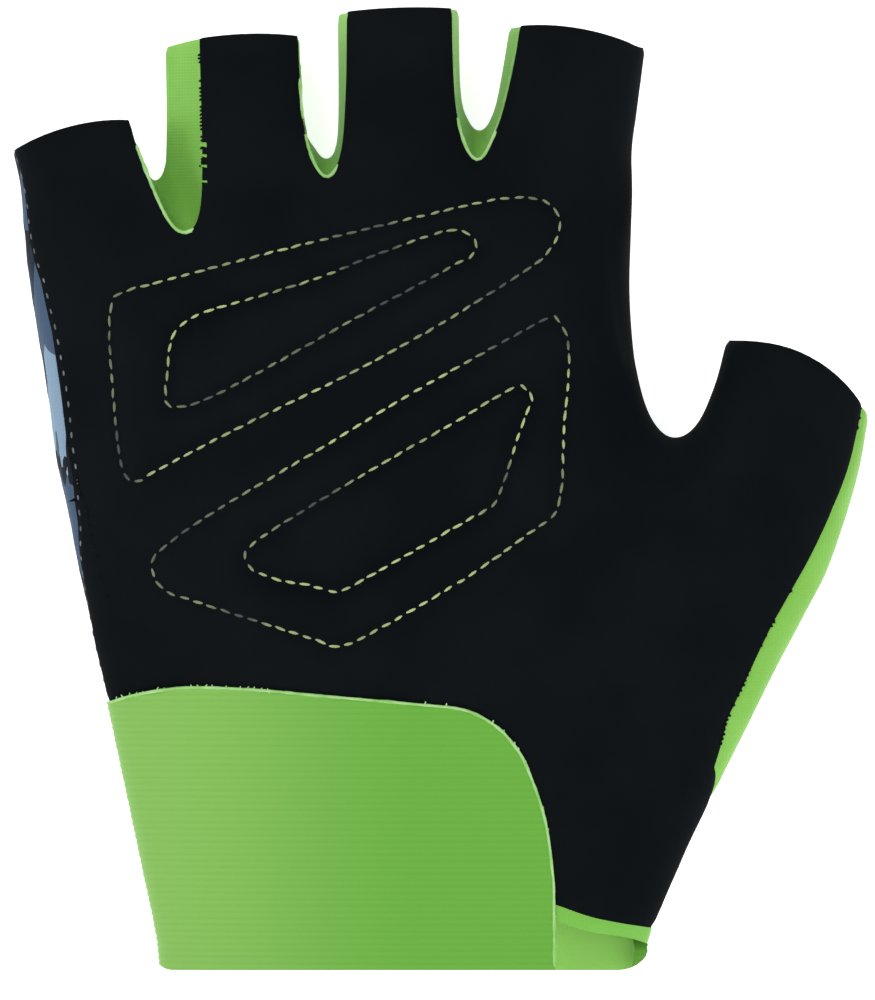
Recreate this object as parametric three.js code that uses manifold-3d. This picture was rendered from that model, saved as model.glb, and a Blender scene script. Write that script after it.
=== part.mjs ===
// A fingerless cycling glove for the right hand, lying on its back with the palm up.
// X runs across the hand towards the thumb, Y from the cuff to the finger ends and Z up.
// The glove is one hollow hand form, cut along its seams into the pieces that are sewn together.
import * as THREE from "three";
import { mergeVertices } from "three/addons/utils/BufferGeometryUtils.js";
import Module from "manifold-3d";

const wasm = await Module();
wasm.setup();

// Driving dimensions, in millimetres.
const palmWidth = 98.5; // across the knuckles, outer edge to outer edge
const gloveLength = 155; // cuff edge to the middle finger's end
const palmHeight = 25; // floor to the crown of the palm
const fingerHeight = 17.5; // floor to the crown of the middle finger
const thumbWidth = 23.4; // across the thumb's opening
const thumbHeight = 18.5; // floor to the crown of the thumb
const thumbLean = 28; // degrees between the thumb and the fingers
const suedeWall = 1.6; // palm leather with its backing
const stretchWall = 1.2; // back, thumb and finger side fabric
const elasticWall = 1.8; // ribbed cuff band
const seamGap = 0.3; // clearance between pieces that are sewn edge to edge
const padRise = 1.2; // how far the palm pads stand above the leather
const channelWidth = 1.6; // sewn channel round each pad's inner field
const hemFold = 0.4; // how far the hem tape stands proud on each side of the leather
const sideSeamHigh = 13.2; // height of the seam between the palm and the finger sides
const sideSeamLow = 4.4; // height of the seam between the finger sides and the back
const backWrap = 4.4; // height that the palm leather reaches down to on the thumb's inner side
const floorSink = 1.1; // depth that the round of the back would dip under the floor before it is flattened

const palmColor = 0x14181c;
const backColor = 0x2b3b4c;
const stretchColor = 0x7fc450;
const elasticColor = 0x71b74a;
const hemColor = 0x62ad3f;

// Shares of the palm width across, from the middle of the glove, and of the glove length along, from the
// cuff edge.
const across = (share) => share * palmWidth;
const along = (share) => share * gloveLength;
const far = gloveLength * 2; // beyond the whole glove, for cutting blocks
const bodyPoints = 28; // corners of a section of the hand
const fingerPoints = 20; // corners of a section of a finger
const upperPower = 2.4; // roundness of a section above its widest level
const lowerPower = 2.8; // roundness of a section below it

// The hand: left and right edges in shares of the palm width, rise in shares of the palm height.
const handSections = [
  { at: 0.0, left: -0.457, right: 0.322, rise: 0.8, corner: 0.02 },
  { at: 0.03, left: -0.47, right: 0.339, rise: 0.81, corner: 0 },
  { at: 0.134, left: -0.503, right: 0.41, rise: 0.86, corner: 0 },
  { at: 0.29, left: -0.553, right: 0.536, rise: 0.95, corner: 0 },
  { at: 0.426, left: -0.599, right: 0.64, rise: 1.0, corner: 0 },
  { at: 0.535, left: -0.633, right: 0.69, rise: 0.98, corner: 0 },
  { at: 0.6, left: -0.647, right: 0.64, rise: 0.96, corner: 0 },
  { at: 0.666, left: -0.661, right: 0.54, rise: 0.92, corner: 0 },
  { at: 0.77, left: -0.688, right: 0.39, rise: 0.81, corner: 0 },
  { at: 0.83, left: -0.694, right: 0.317, rise: 0.67, corner: 0 },
];
// The hand ends here on the thumb's side, where the thumb stall takes over.
const handEnd = [
  { x: 0.345, y: 1.1 },
  { x: 0.345, y: 0.62 },
  { x: 0.38, y: 0.577 },
  { x: 1, y: 0.577 },
  { x: 1, y: 1.1 },
];
const webSlant = 0.05; // how much further the web between the fingers reaches on the index side
const webEnd = { at: 0.855, left: -0.66, right: 0.3, rise: 0.57 };

// The fingers: edges at the end and at the base, and the share of the finger height.
// slant is how far the end's right corner lies beyond its left one, and bow how far the end bulges.
const fingers = [
  {
    name: "little", end: 0.869, left: -0.703, right: -0.506, slant: 0.03, bow: 0.014,
    baseAt: 0.7, baseLeft: -0.63, baseRight: -0.4, rise: 0.9,
  },
  {
    name: "ring", end: 0.967, left: -0.454, right: -0.228, slant: 0.012, bow: 0.008,
    baseAt: 0.74, baseLeft: -0.46, baseRight: -0.18, rise: 0.97,
  },
  {
    name: "middle", end: 0.996, left: -0.172, right: 0.036, slant: 0.005, bow: 0.004,
    baseAt: 0.74, baseLeft: -0.19, baseRight: 0.07, rise: 1.0,
  },
  {
    name: "index", end: 0.967, left: 0.11, right: 0.331, slant: -0.024, bow: 0.014,
    baseAt: 0.72, baseLeft: 0.05, baseRight: 0.28, rise: 0.97,
  },
];
// How much wider a finger is drawn on the glove's own sides, and beside a gap before the gap is cut.
const gapMargin = 0.03;

// The gaps between the fingers: lowX, lowY at the back's seam and highX, highY at the palm's seam.
const gaps = [
  {
    name: "fourchette_little_ring", between: [0, 1],
    edge: [
      { lowX: -0.556, lowY: 1.02, highX: -0.556, highY: 1.02 },
      { lowX: -0.507, lowY: 0.884, highX: -0.507, highY: 0.884 },
      { lowX: -0.49, lowY: 0.85, highX: -0.484, highY: 0.838 },
      { lowX: -0.478, lowY: 0.832, highX: -0.446, highY: 0.783 },
      { lowX: -0.467, lowY: 0.824, highX: -0.418, highY: 0.767 },
      { lowX: -0.456, lowY: 0.834, highX: -0.396, highY: 0.781 },
      { lowX: -0.452, lowY: 0.86, highX: -0.389, highY: 0.83 },
      { lowX: -0.452, lowY: 0.96, highX: -0.393, highY: 0.96 },
      { lowX: -0.452, lowY: 1.06, highX: -0.396, highY: 1.06 },
    ],
  },
  {
    name: "fourchette_ring_middle", between: [1, 2],
    edge: [
      { lowX: -0.23, lowY: 1.08, highX: -0.232, highY: 1.08 },
      { lowX: -0.228, lowY: 0.96, highX: -0.23, highY: 0.96 },
      { lowX: -0.221, lowY: 0.884, highX: -0.223, highY: 0.884 },
      { lowX: -0.2, lowY: 0.855, highX: -0.207, highY: 0.843 },
      { lowX: -0.186, lowY: 0.847, highX: -0.185, highY: 0.825 },
      { lowX: -0.176, lowY: 0.856, highX: -0.166, highY: 0.843 },
      { lowX: -0.172, lowY: 0.885, highX: -0.158, highY: 0.885 },
      { lowX: -0.172, lowY: 0.98, highX: -0.154, highY: 0.98 },
      { lowX: -0.172, lowY: 1.1, highX: -0.154, highY: 1.1 },
    ],
  },
  {
    name: "fourchette_middle_index", between: [2, 3],
    edge: [
      { lowX: 0.034, lowY: 1.1, highX: 0.021, highY: 1.1 },
      { lowX: 0.036, lowY: 0.98, highX: 0.022, highY: 0.98 },
      { lowX: 0.039, lowY: 0.91, highX: 0.027, highY: 0.9 },
      { lowX: 0.05, lowY: 0.885, highX: 0.041, highY: 0.86 },
      { lowX: 0.064, lowY: 0.876, highX: 0.061, highY: 0.843 },
      { lowX: 0.078, lowY: 0.885, highX: 0.081, highY: 0.86 },
      { lowX: 0.093, lowY: 0.915, highX: 0.103, highY: 0.9 },
      { lowX: 0.11, lowY: 0.98, highX: 0.127, highY: 0.98 },
      { lowX: 0.122, lowY: 1.08, highX: 0.137, highY: 1.08 },
    ],
  },
];

// The thumb, along its own axis from the end towards the wrist: run and edges are shares of its width.
// The middle of the thumb's opening, in shares of the glove's sizes.
const thumbEnd = { x: 0.592, y: 0.621 };
const thumbSections = [
  { run: 0, left: -0.5, right: 0.55, rise: 1.0 },
  { run: 0.16, left: -0.515, right: 0.6, rise: 1.04 },
  { run: 0.45, left: -0.5, right: 0.68, rise: 1.1 },
  { run: 0.8, left: -0.5, right: 0.74, rise: 1.15 },
  { run: 1.15, left: -0.6, right: 0.74, rise: 1.15 },
  { run: 1.8, left: -0.6, right: 0.6, rise: 1.05 },
];
const thumbBow = 0.09; // how far the thumb's end bulges, in shares of its width

// The round crotch between the index finger and the thumb.
const crotchEdge = [
  { x: 0.42, y: 1.1 },
  { x: 0.35, y: 0.93 },
  { x: 0.319, y: 0.84 },
  { x: 0.311, y: 0.74 },
  { x: 0.316, y: 0.66 },
  { x: 0.327, y: 0.61 },
  { x: 0.346, y: 0.576 },
  { x: 0.382, y: 0.554 },
  { x: 0.421, y: 0.571 },
  { x: 0.446, y: 0.605 },
  { x: 0.462, y: 0.64 },
  { x: 0.6, y: 1.1 },
];
// Levels in shares of the palm height, and how far the crotch widens there in shares of the palm width.
const crotchLevels = [
  { level: -0.2, grow: 0.03 },
  { level: 0.0, grow: 0.03 },
  { level: 0.2, grow: 0.005 },
  { level: 0.36, grow: 0 },
  { level: 0.5, grow: 0.003 },
  { level: 0.68, grow: 0.018 },
  { level: 0.8, grow: 0.045 },
  { level: 1.1, grow: 0.12 },
];

// The seam that joins palm and back, seen from each side: at along the glove, level up the palm height.
const littleSideSeam = [
  { at: 0.95, level: 0.29 },
  { at: 0.854, level: 0.3 },
  { at: 0.77, level: 0.4 },
  { at: 0.7155, level: 0.51 },
  { at: 0.6625, level: 0.56 },
  { at: 0.608, level: 0.574 },
  { at: 0.551, level: 0.576 },
  { at: 0.515, level: 0.583 },
  { at: 0.4605, level: 0.546 },
  { at: 0.4115, level: 0.46 },
  { at: 0.37, level: 0.4 },
  { at: 0.33, level: 0.36 },
  { at: -0.1, level: 0.36 },
];
const thumbSideSeam = [
  { at: 0.8, level: 0.58 },
  { at: 0.6, level: 0.61 },
  { at: 0.48, level: 0.66 },
  { at: 0.36, level: 0.66 },
  { at: 0.26, level: 0.6 },
  { at: 0.21, level: 0.5 },
  { at: 0.18, level: 0.38 },
  { at: 0.14, level: 0.2 },
  { at: 0.055, level: 0.2 },
  { at: 0.03, level: 0.34 },
  { at: -0.1, level: 0.34 },
];
// Lines through the hollow, from the cuff to the finger ends, that tell the two sides apart.
const littleSideLine = [
  { x: -0.25, y: -0.2 },
  { x: -0.3, y: 0.3 },
  { x: -0.5, y: 0.7 },
  { x: -0.6, y: 0.87 },
  { x: -0.7, y: 1.2 },
];
const thumbSideLine = [
  { x: 0.05, y: -0.2 },
  { x: 0.15, y: 0.2 },
  { x: 0.47, y: 0.48 },
  { x: 0.59, y: 0.62 },
  { x: 0.78, y: 0.8 },
];
const indexLine = [
  { x: 0.19, y: 0.56 },
  { x: 0.19, y: 0.74 },
  { x: 0.22, y: 1.0 },
  { x: 0.22, y: 1.2 },
];

// The front of the cuff band: the curve along which it is sewn into the palm.
const cuffSeam = [
  { x: -0.7, y: 0.262 },
  { x: -0.6, y: 0.268 },
  { x: -0.542, y: 0.279 },
  { x: -0.493, y: 0.288 },
  { x: -0.413, y: 0.295 },
  { x: -0.306, y: 0.293 },
  { x: -0.2, y: 0.287 },
  { x: -0.041, y: 0.278 },
  { x: 0.04, y: 0.272 },
  { x: 0.093, y: 0.257 },
  { x: 0.125, y: 0.238 },
  { x: 0.146, y: 0.214 },
  { x: 0.172, y: 0.16 },
  { x: 0.185, y: 0.105 },
  { x: 0.188, y: 0.065 },
  { x: 0.188, y: -0.1 },
];
// The cuff band's upper edge on the back of the hand.
const cuffBackSeam = [
  { x: -0.8, y: 0.284 },
  { x: -0.3, y: 0.287 },
  { x: 0.05, y: 0.28 },
  { x: 0.25, y: 0.24 },
  { x: 0.4, y: 0.178 },
  { x: 0.7, y: 0.03 },
];
// The thumb piece's edge on the back of the hand.
const thumbBackSeam = [
  { x: 0.43, y: 0.95 },
  { x: 0.4, y: 0.62 },
  { x: 0.375, y: 0.54 },
  { x: 0.35, y: 0.46 },
  { x: 0.335, y: 0.36 },
  { x: 0.345, y: 0.27 },
  { x: 0.4, y: 0.17 },
  { x: 0.45, y: 0.05 },
];
// The hem tape on the palm's short free edge beside the cuff band.
const hemUpper = [
  { x: 0.15, y: 0.0745 },
  { x: 0.189, y: 0.068 },
  { x: 0.254, y: 0.054 },
  { x: 0.341, y: 0.0435 },
  { x: 0.38, y: 0.04 },
  { x: 0.46, y: 0.033 },
];
const hemLower = [
  { x: 0.15, y: 0.0575 },
  { x: 0.189, y: 0.051 },
  { x: 0.241, y: 0.0405 },
  { x: 0.309, y: 0.033 },
  { x: 0.345, y: 0.0255 },
  { x: 0.38, y: 0.018 },
  { x: 0.46, y: 0.005 },
];

// The palm pads: corners of each sewn outline, and how far each rounds off, as a share of the shorter side.
const pads = [
  {
    outer: [
      { x: -0.548, y: 0.706, round: 0.09 },
      { x: 0.21, y: 0.816, round: 0.5 },
      { x: 0.195, y: 0.745, round: 0.43 },
      { x: -0.52, y: 0.498, round: 0.06 },
    ],
    inner: [
      { x: -0.452, y: 0.674, round: 0.3 },
      { x: 0.075, y: 0.782, round: 0.5 },
      { x: 0.062, y: 0.742, round: 0.39 },
      { x: -0.447, y: 0.58, round: 0.08 },
    ],
  },
  {
    outer: [
      { x: 0.209, y: 0.69, round: 0.1 },
      { x: 0.197, y: 0.474, round: 0.09 },
      { x: -0.174, y: 0.33, round: 0.06 },
      { x: -0.497, y: 0.424, round: 0.13 },
    ],
    inner: [
      { x: 0.153, y: 0.616, round: 0.08 },
      { x: 0.09, y: 0.481, round: 0.11 },
      { x: -0.176, y: 0.391, round: 0.11 },
      { x: -0.345, y: 0.42, round: 0.17 },
    ],
  },
];

// A closed triangle mesh as a solid, turned right side out.
function solidOf(geometry) {
  const bare = new THREE.BufferGeometry();
  bare.setAttribute("position", geometry.getAttribute("position"));
  bare.setIndex(geometry.index);
  const merged = mergeVertices(bare, 1e-4);
  const vertProperties = new Float32Array(merged.getAttribute("position").array);
  const triVerts = new Uint32Array(merged.index.array);
  const signed = (tri) => new wasm.Manifold(new wasm.Mesh({ numProp: 3, vertProperties, triVerts: tri }));
  const made = signed(triVerts);
  if (made.volume() > 0) return made;
  for (let i = 0; i < triVerts.length; i += 3) {
    [triVerts[i + 1], triVerts[i + 2]] = [triVerts[i + 2], triVerts[i + 1]];
  }
  return signed(triVerts);
}

// A solid back as three.js geometry.
function geometryOf(solid) {
  const mesh = solid.getMesh();
  const positions = new Float32Array(mesh.numVert * 3);
  for (let i = 0; i < mesh.numVert; i++) {
    const start = i * mesh.numProp;
    positions.set(mesh.vertProperties.subarray(start, start + 3), i * 3);
  }
  const geometry = new THREE.BufferGeometry();
  geometry.setAttribute("position", new THREE.BufferAttribute(positions, 3));
  geometry.setIndex(new THREE.BufferAttribute(mesh.triVerts, 1));
  geometry.computeVertexNormals();
  return geometry;
}

const unite = (solids) => solids.reduce((sum, solid) => sum.add(solid));

// A solid lofted through closed rings of as many points each. flat gives a point's place in its ring's plane.
function loft(rings, flat) {
  const count = rings[0].length;
  const positions = rings.flat().flatMap((p) => [p.x, p.y, p.z]);
  const index = [];
  for (let r = 0; r + 1 < rings.length; r++) {
    for (let k = 0; k < count; k++) {
      const a = r * count + k;
      const b = r * count + ((k + 1) % count);
      index.push(a, b, b + count, a, b + count, a + count);
    }
  }
  const last = (rings.length - 1) * count;
  for (const [a, b, c] of THREE.ShapeUtils.triangulateShape(rings[0].map(flat), [])) index.push(c, b, a);
  for (const [a, b, c] of THREE.ShapeUtils.triangulateShape(rings.at(-1).map(flat), [])) {
    index.push(last + a, last + b, last + c);
  }
  const geometry = new THREE.BufferGeometry();
  geometry.setAttribute("position", new THREE.Float32BufferAttribute(positions, 3));
  geometry.setIndex(index);
  return solidOf(geometry);
}

// One section across the hand or a finger: a round whose lower half is squarer than its upper half.
// wall draws it inside the outer surface by that much, and endAt gives a point's place along the glove.
function section({ left, right, crown, count, wall, endAt }) {
  const middle = (left + right) / 2;
  const half = (right - left) / 2;
  const widest = crown * 0.38;
  const ring = [];
  for (let k = 0; k < count; k++) {
    const turn = (2 * Math.PI * k) / count;
    const [c, s] = [Math.cos(turn), Math.sin(turn)];
    const power = 2 / (s >= 0 ? upperPower : lowerPower);
    const side = Math.sign(c) * Math.abs(c) ** power;
    const lift = Math.sign(s) * Math.abs(s) ** power;
    const reach = s >= 0 ? crown - widest : widest + floorSink;
    const x = middle + side * (half - wall);
    ring.push(new THREE.Vector3(x, endAt(side), widest + lift * (reach - wall)));
  }
  return ring;
}

const seenAlong = (p) => new THREE.Vector2(p.x, p.z);
const seenFromAbove = (p) => new THREE.Vector2(p.x, p.y);

// The hand without fingers. A positive wall gives its hollow and a negative one a swollen copy.
function handForm(wall) {
  const rings = handSections.map(({ at, left, right, rise, corner }) =>
    section({
      left: across(left), right: across(right), crown: rise * palmHeight, count: bodyPoints, wall,
      endAt: (side) => along(at + corner * Math.abs(side) ** 8),
    }),
  );
  const web = (side) => along(webEnd.at + (webSlant / 2) * side) - wall;
  rings.push(
    section({
      left: across(webEnd.left), right: across(webEnd.right), crown: webEnd.rise * palmHeight,
      count: bodyPoints, wall, endAt: web,
    }),
  );
  if (wall > 0) {
    rings.unshift(rings[0].map((p) => new THREE.Vector3(p.x, p.y - gloveLength / 10, p.z)));
  }
  return loft(rings, seenAlong).subtract(upright(straightLine(handEnd, wall)));
}

// One finger stall, from inside the hand to its open end.
function fingerForm(finger, wall) {
  const crown = finger.rise * fingerHeight;
  const leftMargin = finger === fingers[0] ? 0 : gapMargin;
  const rightMargin = finger === fingers.at(-1) ? 0 : gapMargin;
  const edges = (share) => ({
    left: across(THREE.MathUtils.lerp(finger.baseLeft, finger.left, share) - leftMargin * share),
    right: across(THREE.MathUtils.lerp(finger.baseRight, finger.right, share) + rightMargin * share),
  });
  const plain = (at) => () => along(at);
  const shaped = (side) => along(finger.end + (finger.slant / 2) * side + finger.bow * (0.5 - side * side));
  const common = { count: fingerPoints, wall, crown };
  const rings = [
    section({ ...common, ...edges(0), crown: crown * 0.85, endAt: plain(finger.baseAt) }),
    section({ ...common, ...edges(0.5), endAt: plain((finger.baseAt + finger.end) / 2) }),
    section({ ...common, ...edges(1), endAt: shaped }),
  ];
  if (wall > 0) rings.push(rings[2].map((p) => new THREE.Vector3(p.x, p.y + gloveLength / 10, p.z)));
  return loft(rings, seenAlong);
}

// The thumb stall, drawn upright along Y and then leant over.
function thumbForm(wall) {
  const size = (share) => share * thumbWidth;
  const rings = thumbSections.map(({ run, left, right, rise }) =>
    section({
      left: size(left), right: size(right), crown: rise * thumbHeight, count: fingerPoints, wall,
      endAt: (side) => (run === 0 ? size(thumbBow) * (0.5 - side * side) : -size(run)),
    }),
  );
  if (wall > 0) rings.unshift(rings[0].map((p) => new THREE.Vector3(p.x, p.y + gloveLength / 10, p.z)));
  const place = new THREE.Matrix4().makeRotationZ(-THREE.MathUtils.degToRad(thumbLean));
  place.setPosition(across(thumbEnd.x), along(thumbEnd.y), 0);
  return loft(rings.map((ring) => ring.map((p) => p.applyMatrix4(place))), seenFromThumb);
}
const seenFromThumb = (p) => {
  const lean = THREE.MathUtils.degToRad(thumbLean);
  return new THREE.Vector2(p.x * Math.cos(lean) - p.y * Math.sin(lean), p.z);
};

// A smooth line through a table's points, moved sideways by offset to the right of its run.
function smoothLine(rows, offset = 0, steps = 4) {
  const curve = new THREE.SplineCurve(rows.map(({ x, y }) => new THREE.Vector2(across(x), along(y))));
  const points = curve.getPoints((rows.length - 1) * steps);
  return points.map((p, i) => {
    const next = points[Math.min(i + 1, points.length - 1)];
    const run = next.clone().sub(points[Math.max(i - 1, 0)]).normalize();
    return new THREE.Vector2(p.x + run.y * offset, p.y - run.x * offset);
  });
}

// A plain line through a table's points, moved sideways in the same way.
function straightLine(rows, offset = 0) {
  return smoothLine(rows, offset, 1);
}

// An upright block over an outline seen from above.
function upright(outline, low = -far, high = far) {
  const depth = high - low;
  const geometry = new THREE.ExtrudeGeometry(new THREE.Shape(outline), { depth, bevelEnabled: false });
  return solidOf(geometry.translate(0, 0, low));
}

// The gap between two fingers, a cutter that widens from the back's seam to the palm's.
function gapCutter(edge, wall) {
  const side = (x, y) => smoothLine(edge.map((row) => ({ x: row[x], y: row[y] })), wall);
  const low = side("lowX", "lowY");
  const high = side("highX", "highY");
  const ring = (points, z) => points.map((p) => new THREE.Vector3(p.x, p.y, z));
  const rings = [
    ring(low, -palmHeight), ring(low, sideSeamLow), ring(high, sideSeamHigh), ring(high, palmHeight * 2),
  ];
  return loft(rings, seenFromAbove);
}

// The crotch beside the thumb, rounded over towards the palm and the back.
function crotchCutter(wall) {
  const rings = crotchLevels.map(({ level, grow }) => {
    const inner = level > 0.36 ? -wall : wall; // the rounding of the hollow starts nearer the middle
    return smoothLine(crotchEdge, across(grow) + wall, 3).map(
      (p) => new THREE.Vector3(p.x, p.y, level * palmHeight + inner),
    );
  });
  return loft(rings, seenFromAbove);
}

// The whole glove as one solid whose surface lies wall inside the outer one.
function gloveForm(wall) {
  const parts = [handForm(wall), thumbForm(wall), ...fingers.map((finger) => fingerForm(finger, wall))];
  const cutters = [crotchCutter(wall), ...gaps.map(({ edge }) => gapCutter(edge, wall))];
  const floor = upright(box(-far, -far, far, far), -far, Math.max(wall, 0));
  return unite(parts).subtract(unite(cutters)).subtract(floor);
}

function box(x0, y0, x1, y1) {
  return [
    new THREE.Vector2(x0, y0),
    new THREE.Vector2(x1, y0),
    new THREE.Vector2(x1, y1),
    new THREE.Vector2(x0, y1),
  ];
}

// The space above a seam that is drawn as seen from the side.
function aboveSeam(rows, offset) {
  const outline = rows.map(({ at, level }) => new THREE.Vector2(along(at), level * palmHeight + offset));
  outline.push(new THREE.Vector2(along(rows.at(-1).at), far), new THREE.Vector2(along(rows[0].at), far));
  const depth = 2 * far;
  const geometry = new THREE.ExtrudeGeometry(new THREE.Shape(outline), { depth, bevelEnabled: false });
  // The outline's own axes become Y and Z, and its depth runs along X.
  geometry.applyMatrix4(new THREE.Matrix4().makeBasis(
    new THREE.Vector3(0, 1, 0), new THREE.Vector3(0, 0, 1), new THREE.Vector3(1, 0, 0),
  ));
  return solidOf(geometry.translate(-far, 0, 0));
}

// The space on one side of a line that runs from the cuff to the finger ends.
function besideLine(rows, farX, offset = 0) {
  const line = straightLine(rows, offset);
  return upright([...line, new THREE.Vector2(farX, line.at(-1).y), new THREE.Vector2(farX, line[0].y)]);
}

const littleSide = besideLine(littleSideLine, -far);
const thumbSide = besideLine(thumbSideLine, far);
// The zones run into each other by this much, so that cutting leaves no sliver between them.
const zoneOverlap = 0.05;
const pastThumb = besideLine(thumbSideLine, far, zoneOverlap);
const crotchSide = besideLine(indexLine, far).subtract(pastThumb);
const fingerMiddle = upright(box(-far, -far, far, far))
  .subtract(besideLine(littleSideLine, -far, -zoneOverlap))
  .subtract(besideLine(indexLine, far, zoneOverlap))
  .subtract(pastThumb);

// The space that the palm's pieces fill, above all the seams, with the seams' clearance.
function upperSpace(offset) {
  const level = (z) => upright(box(-far, -far, far, far), z, far);
  return unite([
    littleSide.intersect(aboveSeam(littleSideSeam, offset)),
    thumbSide.intersect(aboveSeam(thumbSideSeam, offset)),
    crotchSide.intersect(level(backWrap + offset)),
    fingerMiddle.intersect(level(sideSeamHigh + offset)),
  ]);
}

// The space under the seams of the back, with the seams' clearance.
function lowerSpace(offset) {
  const level = (z) => upright(box(-far, -far, far, far), -far, z);
  return unite([
    littleSide.subtract(aboveSeam(littleSideSeam, -offset)),
    thumbSide.subtract(aboveSeam(thumbSideSeam, -offset)),
    crotchSide.intersect(level(backWrap - offset)),
    fingerMiddle.intersect(level(sideSeamLow - offset)),
  ]);
}

const outerForm = gloveForm(0);
const upper = upperSpace(seamGap / 2);
const lower = lowerSpace(seamGap / 2);
const suedeHollow = gloveForm(suedeWall);
const stretchHollow = gloveForm(stretchWall);
const elasticHollow = gloveForm(elasticWall);

// An outline of all that lies below a line that runs towards the thumb's side.
function closedBelow(line) {
  const [first, last] = [line[0], line.at(-1)];
  return [
    ...line,
    new THREE.Vector2(far, last.y),
    new THREE.Vector2(far, -far),
    new THREE.Vector2(first.x, -far),
  ];
}

// The space of the cuff band on the palm side, and on the back.
function cuffFront(offset) {
  const seam = smoothLine(cuffSeam, -offset);
  const bottom = seam.at(-1).y;
  return upright([...seam, new THREE.Vector2(seam[0].x, bottom)]);
}
function cuffBack(offset) {
  const seam = smoothLine(cuffBackSeam, -offset);
  return upright(closedBelow(seam));
}

// The space under the hem tape's upper or lower edge, beside the cuff band.
function underHem(rows, offset) {
  const line = straightLine(rows, -offset);
  return upright(closedBelow(line));
}

// An outline with rounded corners, from its table of corners, moved outwards by outset all round.
function roundedOutline(corners, outset = 0) {
  const points = corners.map(({ x, y }) => new THREE.Vector2(across(x), along(y)));
  const turn = THREE.ShapeUtils.area(points) > 0 ? 1 : -1;
  const outwards = (from, to) => {
    const run = to.clone().sub(from).normalize();
    return new THREE.Vector2(run.y * turn, -run.x * turn);
  };
  const moved = points.map((corner, i) => {
    const [before, after] = [points.at(i - 1), points[(i + 1) % points.length]];
    const first = outwards(before, corner);
    const second = outwards(corner, after);
    const facing = first.dot(second);
    const round = corners[i].round * Math.min(corner.distanceTo(before), corner.distanceTo(after));
    return {
      place: corner.clone().addScaledVector(first.add(second), outset / (1 + facing)),
      round: Math.max(round + outset * Math.sqrt((1 - facing) / (1 + facing)), channelWidth / 8),
    };
  });
  const shape = new THREE.Shape();
  moved.forEach(({ place, round }, i) => {
    const before = moved.at(i - 1).place.clone().sub(place).setLength(round).add(place);
    const after = moved[(i + 1) % moved.length].place.clone().sub(place).setLength(round).add(place);
    if (i === 0) shape.moveTo(before.x, before.y);
    else shape.lineTo(before.x, before.y);
    shape.quadraticCurveTo(place.x, place.y, after.x, after.y);
  });
  return shape.closePath().getPoints(4);
}

// The pads under the palm leather, as the raised fields that they make, with the sewn channel cut into them.
function padFields() {
  const raised = handForm(-padRise);
  return unite(
    pads.map(({ outer, inner }) => {
      const field = raised.intersect(upright(roundedOutline(outer), palmHeight / 2, far));
      const channel = upright(roundedOutline(inner, channelWidth / 2)).subtract(
        upright(roundedOutline(inner, -channelWidth / 2)),
      );
      return field.subtract(channel);
    }),
  );
}

// The palm, with the front of every finger and of the thumb, in one piece of synthetic leather.
function palmPanel() {
  const skin = outerForm.add(padFields()).subtract(suedeHollow).intersect(upper);
  return skin.subtract(cuffFront(seamGap)).subtract(underHem(hemUpper, 0));
}

// The back of the hand and of the fingers, which also comes up round the little finger's side.
function backPanel() {
  const skin = outerForm.subtract(stretchHollow).intersect(lower);
  return skin.subtract(cuffFront(seamGap)).subtract(cuffBack(seamGap)).subtract(thumbSpace(seamGap));
}

function thumbSpace(offset) {
  const seam = smoothLine(thumbBackSeam, offset);
  return upright([...seam, new THREE.Vector2(far, seam.at(-1).y), new THREE.Vector2(far, seam[0].y)]);
}

// The thumb's back and outer side, which runs down the edge of the hand.
function thumbBack() {
  const skin = outerForm.subtract(stretchHollow).intersect(lower);
  return skin.intersect(thumbSpace(0)).subtract(cuffBack(seamGap));
}

// The elastic band: the front of the wrist, round the little finger's side, and across the back.
function cuffBand() {
  const skin = outerForm.subtract(elasticHollow);
  return skin.intersect(cuffFront(0).add(cuffBack(0).intersect(lower)));
}

// The strip between two fingers, down one, round the crotch and up the other.
function fourchette({ edge, between }) {
  const [left, right] = between.map((i) => fingers[i]);
  const middle = ({ left: l, right: r }) => across((l + r) / 2);
  const baseMiddle = ({ baseLeft: l, baseRight: r }) => across((l + r) / 2);
  const foot = along(Math.min(...edge.map(({ highY }) => highY))) - 4 * stretchWall;
  const zone = upright(
    [
      new THREE.Vector2(baseMiddle(left), foot), new THREE.Vector2(baseMiddle(right), foot),
      new THREE.Vector2(middle(right), along(1.2)), new THREE.Vector2(middle(left), along(1.2)),
    ],
    sideSeamLow + seamGap / 2,
    sideSeamHigh - seamGap / 2,
  );
  return outerForm.subtract(stretchHollow).intersect(zone);
}

// The tape folded over the palm's free edge beside the cuff band.
function palmHem() {
  const skin = handForm(-hemFold).subtract(handForm(suedeWall + hemFold)).intersect(upper);
  const strip = underHem(hemUpper, -seamGap).subtract(underHem(hemLower, 0));
  return skin.intersect(strip).subtract(cuffFront(seamGap));
}

const materials = {
  suede: new THREE.MeshStandardMaterial({ color: palmColor, roughness: 0.85, metalness: 0 }),
  print: new THREE.MeshStandardMaterial({ color: backColor, roughness: 0.7, metalness: 0 }),
  stretch: new THREE.MeshStandardMaterial({ color: stretchColor, roughness: 0.65, metalness: 0 }),
  elastic: new THREE.MeshStandardMaterial({ color: elasticColor, roughness: 0.7, metalness: 0 }),
  tape: new THREE.MeshStandardMaterial({ color: hemColor, roughness: 0.7, metalness: 0 }),
};

const glove = new THREE.Group();
function sew(name, solid, material) {
  const piece = new THREE.Mesh(geometryOf(solid), material);
  piece.name = name;
  glove.add(piece);
}

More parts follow.
